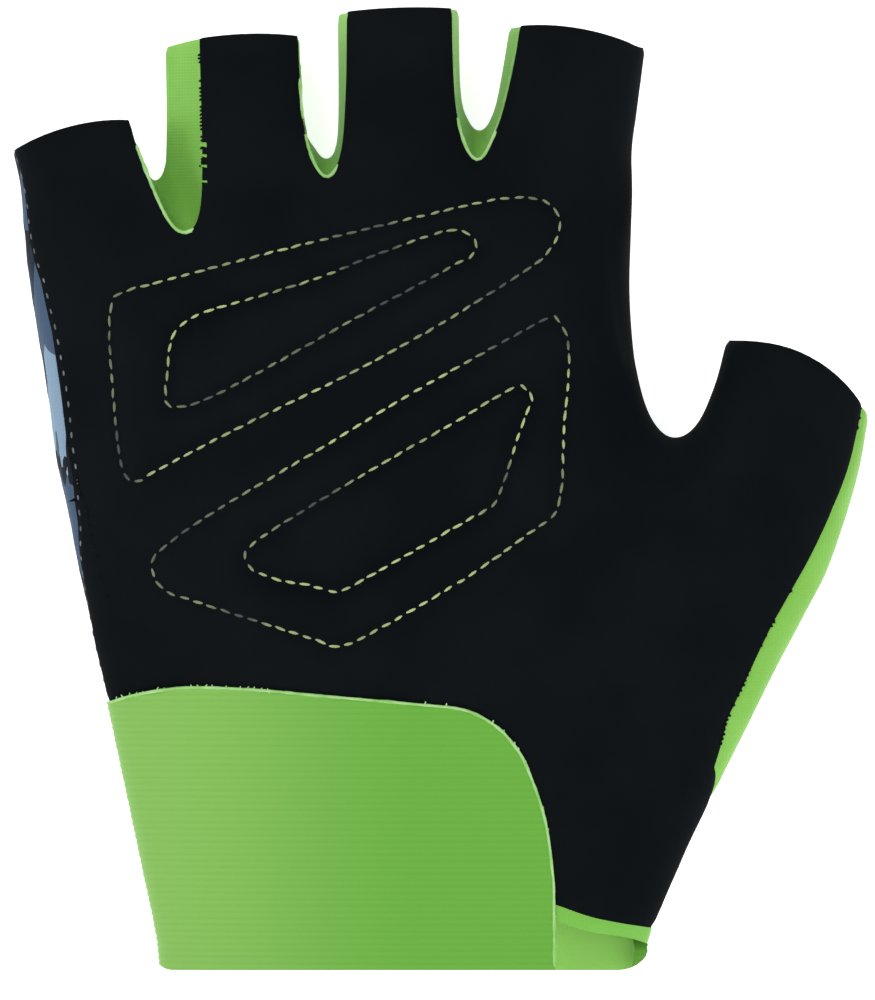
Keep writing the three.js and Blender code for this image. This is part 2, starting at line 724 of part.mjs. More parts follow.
sew("palm_panel", palmPanel(), materials.suede);
sew("back_panel", backPanel(), materials.print);
sew("thumb_back", thumbBack(), materials.stretch);
for (const gap of gaps) sew(gap.name, fourchette(gap), materials.stretch);
sew("cuff_band", cuffBand(), materials.elastic);
sew("palm_hem", palmHem(), materials.tape);

// The origin lies on the floor under the middle of the glove.
const bounds = new THREE.Box3().setFromObject(glove);
const centre = bounds.getCenter(new THREE.Vector3());
glove.position.set(-centre.x, -centre.y, -bounds.min.z);

export default glove;
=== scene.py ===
"""A fingerless cycling glove for the right hand, lying on its back with the palm up.

The glove's outer form is lofted, softened and cut along its seams into skins, and each skin
becomes a panel of suede, stretch knit or ribbed elastic. Modelling is done in millimetres with
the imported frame's axes, and every finished piece is brought to metres.
"""

from __future__ import annotations

import logging
import math
import random
from dataclasses import dataclass, field
from enum import Enum
from typing import Callable, Iterable, NamedTuple, Sequence

import bmesh
import bpy
import numpy as np
from mathutils import Matrix, Vector, noise
from mathutils.bvhtree import BVHTree
from mathutils.kdtree import KDTree

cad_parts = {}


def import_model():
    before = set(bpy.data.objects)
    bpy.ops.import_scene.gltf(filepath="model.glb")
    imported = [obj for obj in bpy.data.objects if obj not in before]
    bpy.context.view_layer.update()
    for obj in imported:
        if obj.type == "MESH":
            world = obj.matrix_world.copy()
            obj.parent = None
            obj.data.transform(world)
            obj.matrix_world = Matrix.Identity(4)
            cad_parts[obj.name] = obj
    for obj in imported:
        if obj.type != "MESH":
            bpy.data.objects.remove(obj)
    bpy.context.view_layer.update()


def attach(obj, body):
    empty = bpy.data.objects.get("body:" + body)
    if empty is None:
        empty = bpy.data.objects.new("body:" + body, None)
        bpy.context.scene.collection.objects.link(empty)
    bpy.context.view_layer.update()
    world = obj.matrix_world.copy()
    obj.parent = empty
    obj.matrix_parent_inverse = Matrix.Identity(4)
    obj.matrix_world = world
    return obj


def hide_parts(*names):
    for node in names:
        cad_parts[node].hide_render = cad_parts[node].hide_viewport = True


LOG = logging.getLogger("glove")
METRES = 0.001  # a millimetre in metres
FAR = 310.0  # how far the cutting blocks reach, past the whole glove
NOWHERE = 1e3  # the distance from a border that isn't there
SHARP_ANGLE = 50.0  # edges that turn by more degrees than this look sharp

Point = tuple[float, float]
Color = tuple[float, float, float]
Spot = tuple[Vector, Vector]  # a place on the glove with the surface's normal there
Thing = bpy.types.Object
Socket = bpy.types.NodeSocket
NodeTree = bpy.types.NodeTree


class Cut(Enum):
    """How one solid works on another."""

    AWAY = "DIFFERENCE"
    WITHIN = "INTERSECT"
    WITH = "UNION"


class Face(Enum):
    """Which material index a face of the form has while it is cut."""

    SKIN = 0
    END = 1
    SEAM = 2
    LITTLE_RING = 3
    RING_MIDDLE = 4
    MIDDLE_INDEX = 5


class Section(NamedTuple):
    """A section across the hand, in shares of the glove's length, width and height."""

    at: float
    left: float
    right: float
    rise: float


class Finger(NamedTuple):
    """A finger stall: its end and its base, in shares of the glove's sizes."""

    name: str
    end: float
    left: float
    right: float
    slant: float  # how much further its end reaches on the right than on the left
    bow: float  # how much further its end reaches in the middle than at the corners
    base_at: float
    base_left: float
    base_right: float
    rise: float


class GapPoint(NamedTuple):
    """A point of a gap's edge at the back's seam (low) and at the palm's seam (high)."""

    low_x: float
    low_y: float
    high_x: float
    high_y: float


class ThumbSection(NamedTuple):
    """A section across the thumb, in shares of its width and height."""

    run: float
    left: float
    right: float
    rise: float


class CrotchLevel(NamedTuple):
    """How far the thumb's crotch widens at a level, in shares of the palm's height and width."""

    level: float
    grow: float


class SeamPoint(NamedTuple):
    """A point of a seam seen from the side, in shares of the length and the palm's height."""

    at: float
    level: float


@dataclass(frozen=True)
class GloveSizes:
    """The glove's driving sizes in millimetres."""

    palm_width: float = 98.5
    glove_length: float = 155.0
    palm_height: float = 25.0
    finger_height: float = 17.5
    thumb_width: float = 23.4
    thumb_height: float = 18.5
    thumb_lean: float = 28.0
    suede_wall: float = 1.6
    stretch_wall: float = 1.2
    elastic_wall: float = 1.8
    side_seam_high: float = 13.2
    side_seam_low: float = 4.4
    back_wrap: float = 4.4
    floor_sink: float = 1.1
    upper_power: float = 2.4  # how square the sections are above their widest level
    lower_power: float = 2.8  # how square they are below it
    widest: float = 0.38  # the widest level, as a share of a section's height
    middle_x: float = 0.03  # the knuckles' middle, measured from the frame's origin

    def across(self, share: float) -> float:
        """A place across the glove from a share of the palm's width."""
        return share * self.palm_width + self.middle_x

    def along(self, share: float) -> float:
        """A place along the glove from a share of its length, counted from the cuff's edge."""
        return share * self.glove_length - self.glove_length / 2

    def at(self, x: float, y: float, z: float = 0.0) -> Vector:
        """A point from its two shares and a height in millimetres."""
        return Vector((self.across(x), self.along(y), z))

    def line(self, points: Sequence[Sequence[float]], steps: int) -> np.ndarray:
        """A smooth line, seen from above in millimetres, through points given by their shares."""
        return smooth_line([self.at(x, y).xy for x, y in points], steps)

    def gap_edges(self, rows: Sequence[GapPoint]) -> tuple[np.ndarray, np.ndarray]:
        """A gap's edges at the back's seam and at the palm's, as smooth lines."""
        steps = 10
        low = self.line([(row.low_x, row.low_y) for row in rows], steps)
        high = self.line([(row.high_x, row.high_y) for row in rows], steps)
        return low, high


SIZES = GloveSizes()

HAND_SECTIONS = tuple(
    Section(*row)
    for row in (
        (-0.06, -0.456, 0.33, 0.79), (0.03, -0.4655, 0.3435, 0.81), (0.134, -0.5, 0.4145, 0.86),
        (0.29, -0.552, 0.537, 0.95), (0.426, -0.601, 0.643, 1.0), (0.535, -0.637, 0.694, 0.98),
        (0.6, -0.652, 0.645, 0.96), (0.666, -0.664, 0.54, 0.92), (0.77, -0.688, 0.39, 0.81),
        (0.83, -0.694, 0.317, 0.67), (0.858, -0.66, 0.3, 0.57),
    )
)

FINGERS = (
    Finger("little", 0.8714, -0.703, -0.506, 0.0355, 0.0112, 0.7, -0.63, -0.4, 0.9),
    Finger("ring", 0.968, -0.454, -0.228, 0.012, 0.008, 0.74, -0.46, -0.18, 0.97),
    Finger("middle", 0.998, -0.172, 0.036, 0.005, 0.004, 0.74, -0.19, 0.07, 1.0),
    Finger("index", 0.9733, 0.11, 0.331, -0.024, 0.0119, 0.72, 0.05, 0.28, 0.97),
)

LITTLE_RING = tuple(
    GapPoint(*row)
    for row in (
        (-0.556, 1.02, -0.556, 1.02), (-0.507, 0.884, -0.507, 0.884), (-0.49, 0.85, -0.484, 0.838),
        (-0.478, 0.832, -0.446, 0.783), (-0.467, 0.824, -0.418, 0.767),
        (-0.456, 0.834, -0.396, 0.781), (-0.452, 0.86, -0.389, 0.83), (-0.452, 0.96, -0.393, 0.96),
        (-0.452, 1.06, -0.396, 1.06),
    )
)
RING_MIDDLE = tuple(
    GapPoint(*row)
    for row in (
        (-0.23, 1.08, -0.232, 1.08), (-0.228, 0.96, -0.23, 0.96), (-0.221, 0.884, -0.223, 0.884),
        (-0.2, 0.855, -0.207, 0.843), (-0.186, 0.847, -0.185, 0.825), (-0.176, 0.856, -0.166, 0.843),
        (-0.172, 0.885, -0.158, 0.885), (-0.172, 0.98, -0.154, 0.98), (-0.172, 1.1, -0.154, 1.1),
    )
)
MIDDLE_INDEX = tuple(
    GapPoint(*row)
    for row in (
        (0.034, 1.1, 0.021, 1.1), (0.036, 0.98, 0.022, 0.98), (0.039, 0.91, 0.027, 0.9),
        (0.05, 0.885, 0.041, 0.86), (0.064, 0.876, 0.061, 0.843), (0.078, 0.885, 0.081, 0.86),
        (0.093, 0.915, 0.103, 0.9), (0.11, 0.98, 0.127, 0.98), (0.122, 1.08, 0.137, 1.08),
    )
)

THUMB_END: Point = (0.5944, 0.6238)
THUMB_BOW = 0.2
THUMB_SECTIONS = tuple(
    ThumbSection(*row)
    for row in (
        (0.0, -0.57, 0.55, 1.0), (0.16, -0.56, 0.6, 1.04), (0.45, -0.52, 0.68, 1.1),
        (0.8, -0.5, 0.74, 1.15), (1.15, -0.6, 0.74, 1.15), (1.8, -0.6, 0.6, 1.05),
    )
)
HAND_END: tuple[Point, ...] = (
    (0.345, 1.1), (0.345, 0.62), (0.38, 0.577), (1.0, 0.577), (1.0, 1.1),
)

CROTCH_EDGE: tuple[Point, ...] = (
    (0.42, 1.1), (0.35, 0.93), (0.319, 0.84), (0.311, 0.74), (0.316, 0.66), (0.327, 0.61),
    (0.345, 0.572), (0.382, 0.5495), (0.422, 0.566), (0.447, 0.602), (0.462, 0.64), (0.6, 1.1),
)
CROTCH_LEVELS = tuple(
    CrotchLevel(*row)
    for row in (
        (-0.2, 0.03), (0.0, 0.03), (0.2, 0.005), (0.36, 0.0), (0.5, 0.003), (0.68, 0.018),
        (0.8, 0.045), (1.1, 0.12),
    )
)

LITTLE_SIDE_SEAM = tuple(
    SeamPoint(*row)
    for row in (
        (1.1, 0.29), (0.95, 0.29), (0.854, 0.3), (0.77, 0.4), (0.7155, 0.51), (0.6625, 0.56),
        (0.608, 0.574), (0.551, 0.576), (0.515, 0.583), (0.4605, 0.546), (0.4115, 0.46), (0.37, 0.4),
        (0.33, 0.36), (-0.2, 0.36),
    )
)
THUMB_SIDE_SEAM = tuple(
    SeamPoint(*row)
    for row in (
        (1.1, 0.58), (0.8, 0.5), (0.6, 0.53), (0.54, 0.58), (0.48, 0.64), (0.36, 0.66), (0.26, 0.63),
        (0.21, 0.55), (0.18, 0.37), (0.15, 0.17), (0.045, 0.17), (0.02, 0.26), (-0.2, 0.26),
    )
)
LITTLE_SIDE_LINE: tuple[Point, ...] = (
    (-0.25, -0.2), (-0.3, 0.3), (-0.5, 0.7), (-0.6, 0.87), (-0.7, 1.2),
)
THUMB_SIDE_LINE: tuple[Point, ...] = (
    (0.05, -0.2), (0.15, 0.2), (0.47, 0.48), (0.59, 0.62), (0.78, 0.8),
)
INDEX_LINE: tuple[Point, ...] = ((0.19, 0.56), (0.19, 0.74), (0.22, 1.0), (0.22, 1.2))

CUFF_SEAM: tuple[Point, ...] = (
    (-0.7, 0.262), (-0.6, 0.268), (-0.542, 0.279), (-0.493, 0.288), (-0.413, 0.295),
    (-0.306, 0.293), (-0.2, 0.287), (-0.041, 0.278), (0.04, 0.272), (0.09, 0.256),
    (0.119, 0.2375), (0.142, 0.214), (0.172, 0.16), (0.185, 0.105), (0.188, 0.065), (0.188, -0.1),
)
CUFF_BACK_SEAM: tuple[Point, ...] = (
    (-0.8, 0.258), (-0.56, 0.264), (-0.3, 0.28), (0.05, 0.28), (0.25, 0.24), (0.4, 0.178),
    (0.7, 0.03),
)
THUMB_BACK_SEAM: tuple[Point, ...] = (
    (0.43, 0.95), (0.4, 0.62), (0.375, 0.54), (0.35, 0.46), (0.335, 0.36), (0.345, 0.27),
    (0.4, 0.17), (0.45, 0.05),
)
HEM_UPPER: tuple[Point, ...] = (
    (0.15, 0.0745), (0.189, 0.068), (0.254, 0.054), (0.341, 0.0435), (0.38, 0.04), (0.46, 0.033),
)
HEM_LOWER: tuple[Point, ...] = (
    (0.15, 0.0575), (0.189, 0.051), (0.241, 0.0405), (0.309, 0.033), (0.345, 0.0255),
    (0.38, 0.018), (0.46, 0.005),
)

# The pads' sewn lines, seen from above in millimetres: the outer ones, then the fields within.
PAD_OUTLINES: tuple[tuple[Point, ...], ...] = (
    (
        (-51.9, 31.2), (-49.6, 32.1), (-39, 34.9), (-25.2, 38.5), (-10.1, 42.2), (3.9, 45.5),
        (10.8, 46.8), (15.4, 46.7), (18, 45.5), (19.2, 43.2), (18.8, 40.3), (16.1, 36.8),
        (10.2, 32.8), (-1.3, 25.7), (-14.9, 18.3), (-30.8, 10.6), (-43.2, 4.2), (-48, 1.6),
        (-49.3, 1.1), (-50.4, 1.9), (-51.6, 5.5), (-52.6, 15.3), (-53.2, 24.7), (-52.9, 29.4),
    ),
    (
        (18.8, 27.3), (20.1, 25.2), (20.7, 22.3), (20.6, 17.5), (19.9, 9.5), (19.7, 2.2),
        (19.2, -1.8), (18, -4.5), (14.5, -7), (6.6, -12.7), (-1.4, -17.7), (-9.8, -22.5),
        (-14.1, -24.7), (-17.2, -25.3), (-20.2, -24.2), (-31.6, -20.6), (-40.3, -17.8),
        (-44.2, -16.4), (-45.9, -14), (-46.4, -12.2), (-45.1, -10), (-40, -6.1), (-33.7, -2.1),
        (-20.3, 5.8), (-5.8, 14.6), (8.5, 22.7), (15.1, 26.3), (17.2, 27.3),
    ),
)
PAD_FIELDS: tuple[tuple[Point, ...], ...] = (
    (
        (-43.9, 18.1), (-43.6, 21.4), (-43.2, 23.8), (-42.2, 25.7), (-39.2, 27.9), (-35.3, 29.2),
        (-27.9, 31.3), (-18.8, 34.2), (-10.4, 37.6), (-1.4, 40.8), (2.1, 41.6), (4.3, 41.1),
        (5.8, 39.5), (5.3, 37.7), (2.7, 36.2), (-4.3, 32.4), (-15.8, 26.2), (-27.5, 19.6),
        (-36.5, 14.9), (-40.6, 13.4), (-43.4, 13.3), (-44.1, 15.1),
    ),
    (
        (13.3, 16.5), (14.6, 15.3), (14.3, 13.2), (12.4, 7.9), (10.8, 2.7), (9.3, -1.4), (8, -3),
        (5, -4.7), (-5.8, -10.9), (-14.1, -15.6), (-16.5, -16.5), (-18.5, -16.2), (-21.2, -15.4),
        (-25.7, -14.7), (-29.7, -13.2), (-31.3, -11.4), (-31, -10), (-29.7, -8.6), (-23.6, -4.5),
        (-8.7, 4.4), (2.2, 10.6), (8.8, 14.6), (11.4, 16),
    ),
)

GAPS = (
    (LITTLE_RING, Face.LITTLE_RING),
    (RING_MIDDLE, Face.RING_MIDDLE),
    (MIDDLE_INDEX, Face.MIDDLE_INDEX),
)
GAP_NODES = ("fourchette_little_ring", "fourchette_ring_middle", "fourchette_middle_index")
PALE_SHARES = (0.54, 0.56, 1.0)  # how much of each gap's edge, from its left, has the pale thread
DARK_SHARES = (0.46, 0.0, 0.0)  # how much of it, up to its right, ends in dark threads
# The gaps below the back's seam: the level, the share of the way to the palm's seam, the widening.
GAP_FOOT = ((-9.0, 0.0, 2.6), (0.0, 0.0, 1.5), (0.9, 0.0, 0.7), (2.2, 0.0, 0.2))
GAP_TOP = (30.0, 1.0, 0.0)
# A finger stall's sections: how far it has turned from base to end, and its share of height.
FINGER_BASE = (0.0, 0.85)
FINGER_MIDDLE = (0.5, 1.0)
FINGER_END = (1.0, 1.0)

# Each crease is a line in millimetres with its depth and its half width.
CREASES = ((((28.6, 44.9), (28.1, 39.4), (28.9, 29.5), (30.4, 20.7)), 0.35, 1.1),)


def smooth_line(points: Sequence[Sequence[float]], steps: int) -> np.ndarray:
    """Runs a smooth curve through the points.

    Args:
        points: The points that the curve passes through, in any number of dimensions.
        steps: How many stretches each pair of neighbours is cut into.

    Returns:
        The curve's points, a row each.
    """
    rows = np.asarray(points, float)
    padded = np.vstack([rows[:1], rows, rows[-1:]])
    curve = []
    for i in range(1, len(padded) - 2):
        a, b, c, d = padded[i - 1], padded[i], padded[i + 1], padded[i + 2]
        for t in np.arange(steps) / steps:
            curve.append(
                b
                + 0.5 * t * (c - a)
                + t * t * (a - 2.5 * b + 2 * c - 0.5 * d)
                + t**3 * (1.5 * (b - c) + 0.5 * (d - a))
            )
    curve.append(rows[-1])
    return np.array(curve)


def spaced(line: np.ndarray, pitch: float) -> np.ndarray:
    """Points at an even pitch along a line."""
    steps = np.linalg.norm(np.diff(line, axis=0), axis=1)
    run = np.concatenate([[0], np.cumsum(steps)])
    count = max(int(round(run[-1] / pitch)), 1)
    wanted = np.linspace(0, run[-1], count + 1)
    return np.stack([np.interp(wanted, run, line[:, k]) for k in range(line.shape[1])], axis=1)


def sideways(line: np.ndarray) -> np.ndarray:
    """Unit steps to the right of a flat line's run, one for each point."""
    run = np.gradient(line, axis=0)
    run /= np.linalg.norm(run, axis=1, keepdims=True)
    return np.stack([run[:, 1], -run[:, 0]], axis=1)


def closed_line(points: Sequence[Point], steps: int = 6) -> np.ndarray:
    """A smooth closed line through the points, with the first one repeated at the end."""
    wrapped = [*points[-2:], *points, *points[:2]]
    return smooth_line(wrapped, steps)[2 * steps : -steps]


def smoothstep(low: float, high: float, values: np.ndarray) -> np.ndarray:
    """A soft step from 0 at low to 1 at high."""
    t = np.clip((values - low) / (high - low), 0, 1)
    return t * t * (3 - 2 * t)


def flattened(points: np.ndarray) -> np.ndarray:
    """The points as seen from above, all at level zero."""
    return np.column_stack([points[:, :2], np.zeros(len(points))])


def run_at(line: Sequence[Spot], k: int) -> Vector:
    """The run of a line of places and normals at one of them, from its neighbours."""
    return line[min(k + 1, len(line) - 1)][0] - line[max(k - 1, 0)][0]


def link(mesh: bpy.types.Mesh, name: str) -> Thing:
    """Puts a mesh into the scene as an object of that name."""
    thing = bpy.data.objects.new(name, mesh)
    bpy.context.scene.collection.objects.link(thing)
    return thing


def shape_of(bm: bmesh.types.BMesh, name: str) -> Thing:
    """Ends a bmesh as an object.

    Args:
        bm: The finished bmesh, which is freed.
        name: The object's name.

    Returns:
        The object, in the scene.
    """
    mesh = bpy.data.meshes.new(name)
    bm.to_mesh(mesh)
    bm.free()
    return link(mesh, name)


def settle(thing: Thing) -> None:
    """Applies all of an object's modifiers to its mesh."""
    graph = bpy.context.evaluated_depsgraph_get()
    made = bpy.data.meshes.new_from_object(thing.evaluated_get(graph))
    old = thing.data
    thing.modifiers.clear()
    thing.data = made
    bpy.data.meshes.remove(old)


def drop(*things: Thing) -> None:
    """Removes working objects and their meshes."""
    for thing in things:
        mesh = thing.data
        bpy.data.objects.remove(thing)
        bpy.data.meshes.remove(mesh)


def copy_of(thing: Thing, name: str) -> Thing:
    """A copy of an object with a mesh of its own."""
    return link(thing.data.copy(), name)


def work(body: Thing, tool: Thing, way: Cut) -> Thing:
    """Cuts or joins one closed solid with another, which is used up.

    Args:
        body: The solid that is changed.
        tool: The solid that works on it.
        way: Whether the tool is cut away, kept within or joined.

    Returns:
        The changed body.
    """
    modifier = body.modifiers.new("work", "BOOLEAN")
    modifier.operation = way.value
    modifier.solver = "MANIFOLD"
    modifier.object = tool
    settle(body)
    drop(tool)
    return body


def mark(thing: Thing, kind: Face) -> Thing:
    """Gives all of an object's faces one kind.

    Args:
        thing: The object, which gets a working material for each kind.
        kind: The kind of every face.

    Returns:
        The same object.
    """
    thing.data.materials.clear()
    for each in Face:
        name = f"working_{each.name.lower()}"
        thing.data.materials.append(bpy.data.materials.get(name) or bpy.data.materials.new(name))
    thing.data.polygons.foreach_set("material_index", [kind.value] * len(thing.data.polygons))
    return thing


def bridged(rings: Sequence[Sequence[Vector]]) -> bmesh.types.BMesh:
    """A closed skin bridged through closed rings of as many points each.

    Args:
        rings: The rings, in order, whose first and last one are filled.

    Returns:
        The skin as a bmesh.
    """
    bm = bmesh.new()
    loops = []
    for ring in rings:
        verts = bmesh.ops.create_circle(bm, segments=len(ring), radius=1.0)["verts"]
        for vert, place in zip(verts, ring):
            vert.co = place
        loops.append([edge for edge in bm.edges if not edge.tag])
        for edge in loops[-1]:
            edge.tag = True
    for first, second in zip(loops, loops[1:]):
        bmesh.ops.bridge_loops(bm, edges=first + second)
    bmesh.ops.holes_fill(bm, edges=bm.edges[:], sides=0)
    bmesh.ops.triangulate(bm, faces=[face for face in bm.faces if len(face.verts) > 4])
    bmesh.ops.recalc_face_normals(bm, faces=bm.faces[:])
    return bm


def woven(rings: Sequence[Sequence[Vector]]) -> bmesh.types.BMesh:
    """A skin through many closed rings, whose last one leads back to the first.

    Args:
        rings: The rings, of as many points each.

    Returns:
        The skin as a bmesh.
    """
    around, along = len(rings[0]), len(rings)
    bm = bmesh.new()
    bmesh.ops.create_grid(bm, x_segments=around, y_segments=along, size=1.0)
    for vert in bm.verts:
        column = round((vert.co.x + 1) / 2 * around)
        row = round((vert.co.y + 1) / 2 * along)
        vert.co = rings[row % along][column % around]
    bmesh.ops.remove_doubles(bm, verts=bm.verts[:], dist=1e-5)
    bmesh.ops.recalc_face_normals(bm, faces=bm.faces[:])
    return bm


def loft(rings: Sequence[Sequence[Vector]], name: str, kind: Face = Face.SKIN) -> Thing:
    """A closed solid bridged through closed rings.

    Args:
        rings: The rings, in order.
        name: The object's name.
        kind: The kind of its faces.

    Returns:
        The solid.
    """
    return mark(shape_of(bridged(rings), name), kind)


def prism(
    outline: Sequence[Sequence[float]],
    low: float = -FAR,
    high: float = FAR,
    kind: Face = Face.SEAM,
) -> Thing:
    """An upright block over an outline seen from above.

    Args:
        outline: The outline's corners.
        low: The block's lowest level.
        high: The block's highest level.
        kind: The kind of its faces.

    Returns:
        The block.
    """
    return loft([[Vector((x, y, z)) for x, y in outline] for z in (low, high)], "block", kind)


@dataclass
class GloveForm:
    """The whole glove's outer form, closed, softened and flattened where it rests."""

    sizes: GloveSizes = SIZES
    hand_points: int = 64
    finger_points: int = 40
    voxel: float = 0.9
    soften: int = 14
    crotch_soften: int = 22
    overshoot: float = 9.0  # how far the stalls reach past their open ends before these are cut
    outer_side: float = 0.012  # how much wider a stall is at the glove's side, as a share
    gap_side: float = 0.03  # how much wider it is beside a gap, which is cut out of it
    gap_bulge: float = 0.12
    gap_levels: int = 9
    gap_turn: float = 1.2  # below this level the gaps' walls belong to the back panel
    end_points: int = 17
    finger_cut: float = 1.12  # how far a finger's cutter reaches, in its half widths
    thumb_cut: float = 0.62  # how far the thumb's cutter reaches, in its widths
    outer_reach: float = 6.0  # how much further a cutter reaches at the glove's side
    outer_drop: float = 20.0  # how far its corners follow the end's slant, in slants
    cuff_rounds: Point = (3.2, 5.5)
    cuff_round_steps: int = 8
    cuff_reach: float = 0.5
    cuff_beside: float = 3.0
    cuff_lean: Point = (0.025, -0.4)  # how the cuff's open end leans back with height, and its trim
    whole: Surface | None = None  # the form's skin before its gaps and ends are cut

    def section(
        self, left: float, right: float, crown: float, count: int, place: Callable[[float], float]
    ) -> list[Vector]:
        """One section: a round whose lower half is squarer than its upper half.

        Args:
            left: The left edge in millimetres.
            right: The right edge in millimetres.
            crown: The height of its crown.
            count: How many points it has.
            place: Gives a point's place along the glove from its share of the half width.

        Returns:
            The ring of points.
        """
        size = self.sizes
        middle, half, widest = (left + right) / 2, (right - left) / 2, crown * size.widest
        ring = []
        for k in range(count):
            turn = math.tau * k / count
            c, s = math.cos(turn), math.sin(turn)
            power = 2 / (size.upper_power if s >= 0 else size.lower_power)
            side = math.copysign(abs(c) ** power, c)
            lift = math.copysign(abs(s) ** power, s)
            reach = crown - widest if s >= 0 else widest + size.floor_sink
            ring.append(Vector((middle + side * half, place(side), widest + lift * reach)))
        return ring

    def hand_section(self, row: Section, count: int) -> list[Vector]:
        """The section across the hand that a row gives."""
        size = self.sizes
        left, right, crown = size.across(row.left), size.across(row.right), row.rise * size.palm_height
        return self.section(left, right, crown, count, lambda side: size.along(row.at))

    def hand(self) -> Thing:
        """The hand without its fingers."""
        body = loft([self.hand_section(row, self.hand_points) for row in HAND_SECTIONS], "hand")
        beyond = prism([self.sizes.at(x, y).xy for x, y in HAND_END], kind=Face.SKIN)
        return work(body, beyond, Cut.AWAY)

    def finger(self, finger: Finger) -> Thing:
        """One finger stall, which overshoots its end.

        Args:
            finger: The finger's row.

        Returns:
            The stall as a closed solid.
        """
        size = self.sizes
        to_left = self.outer_side if finger.name == "little" else self.gap_side
        to_right = self.outer_side if finger.name == "index" else self.gap_side
        rows = (
            (finger.base_at, *FINGER_BASE),
            ((finger.base_at + finger.end) / 2, *FINGER_MIDDLE),
            (finger.end, *FINGER_END),
            (finger.end + self.overshoot / size.glove_length, *FINGER_END),
        )
        rings = []
        for at, share, rise in rows:
            left = finger.base_left + (finger.left - finger.base_left) * share
            right = finger.base_right + (finger.right - finger.base_right) * share
            rings.append(
                self.section(
                    size.across(left - to_left * share),
                    size.across(right + to_right * share),
                    finger.rise * size.finger_height * rise,
                    self.finger_points,
                    lambda side, at=at: size.along(at),
                )
            )
        return loft(rings, finger.name)

    def thumb_frame(self) -> Matrix:
        """The thumb's own frame: Y along it towards its end, from the middle of its opening."""
        return Matrix.Translation(self.sizes.at(*THUMB_END)) @ Matrix.Rotation(
            -math.radians(self.sizes.thumb_lean), 4, "Z"
        )

    def thumb(self) -> Thing:
        """The thumb stall, which overshoots its end."""
        size = self.sizes
        frame = self.thumb_frame()
        first = THUMB_SECTIONS[0]
        rows = [first._replace(run=-self.overshoot / size.thumb_width), *THUMB_SECTIONS]
        rings = []
        for row in rows:
            ring = self.section(
                row.left * size.thumb_width,
                row.right * size.thumb_width,
                row.rise * size.thumb_height,
                self.finger_points,
                lambda side, run=row.run: -run * size.thumb_width,
            )
            rings.append([frame @ point for point in ring])
        return loft(rings, "thumb")

    def gap_cutter(self, rows: Sequence[GapPoint], kind: Face) -> Thing:
        """The space between two fingers, which widens from the back's seam to the palm's.

        Args:
            rows: The gap's edge.
            kind: The kind of the faces that the fourchette covers.

        Returns:
            The cutter, whose sides are plain skin where the back panel turns under the finger.
        """
        size = self.sizes
        low, high = size.gap_edges(rows)
        out = sideways(high)
        levels = [*GAP_FOOT]
        for t in np.linspace(0, 1, self.gap_levels):
            level = size.side_seam_low + (size.side_seam_high - size.side_seam_low) * t
            levels.append((level, t, -self.gap_bulge * math.sin(math.pi * t)))
        levels.append(GAP_TOP)
        rings = []
        for level, t, grow in levels:
            ring = low * (1 - t) + high * t + out * grow
            rings.append([Vector((x, y, level)) for x, y in ring])
        cutter = loft(rings, "gap", kind)
        for face in cutter.data.polygons:
            if face.center.z < self.gap_turn:
                face.material_index = Face.SKIN.value
        return cutter

    def crotch_cutter(self) -> Thing:
        """The round crotch beside the thumb, rounded over towards the palm and the back."""
        size = self.sizes
        edge = size.line(CROTCH_EDGE, 8)
        out = sideways(edge)
        rings = []
        for level, grow in smooth_line(CROTCH_LEVELS, 4):
            ring = edge + out * (max(grow, 0) * size.palm_width)
            rings.append([Vector((x, y, level * size.palm_height)) for x, y in ring])
        return loft(rings, "crotch")

    def end_cutters(self) -> list[Thing]:
        """The blocks beyond each finger's, the thumb's and the cuff's open end."""
        size = self.sizes
        cutters = []
        shares = np.linspace(-1, 1, self.end_points)
        outer = {"little": (-self.outer_reach, 0.0), "index": (0.0, self.outer_reach)}
        for finger in FINGERS:
            middle, half = (finger.left + finger.right) / 2, (finger.right - finger.left) / 2
            edge = [
                size.at(
                    middle + side * half * self.finger_cut,
                    finger.end + finger.slant / 2 * side + finger.bow * (0.5 - side * side),
                ).xy
                for side in shares
            ]
            wider = outer.get(finger.name, (0.0, 0.0))
            edge[0] = edge[0] + Vector((wider[0], -finger.slant * self.outer_drop))
            edge[-1] = edge[-1] + Vector((wider[1], finger.slant * self.outer_drop))
            lift = Vector((0, self.overshoot * 2))
            cutters.append(prism([*edge, edge[-1] + lift, edge[0] + lift], kind=Face.END))
        frame = self.thumb_frame()
        half = size.thumb_width * self.thumb_cut
        edge = [
            frame @ Vector((side * half, size.thumb_width * THUMB_BOW * (0.5 - side * side), 0))
            for side in shares
        ]
        lift = frame.to_3x3() @ Vector((0, self.overshoot * 2, 0))
        around = [*edge, edge[-1] + lift, edge[0] + lift]
        cutters.append(prism([place.xy for place in around], kind=Face.END))
        cutters.append(self.cuff_end_cutter())
        return cutters

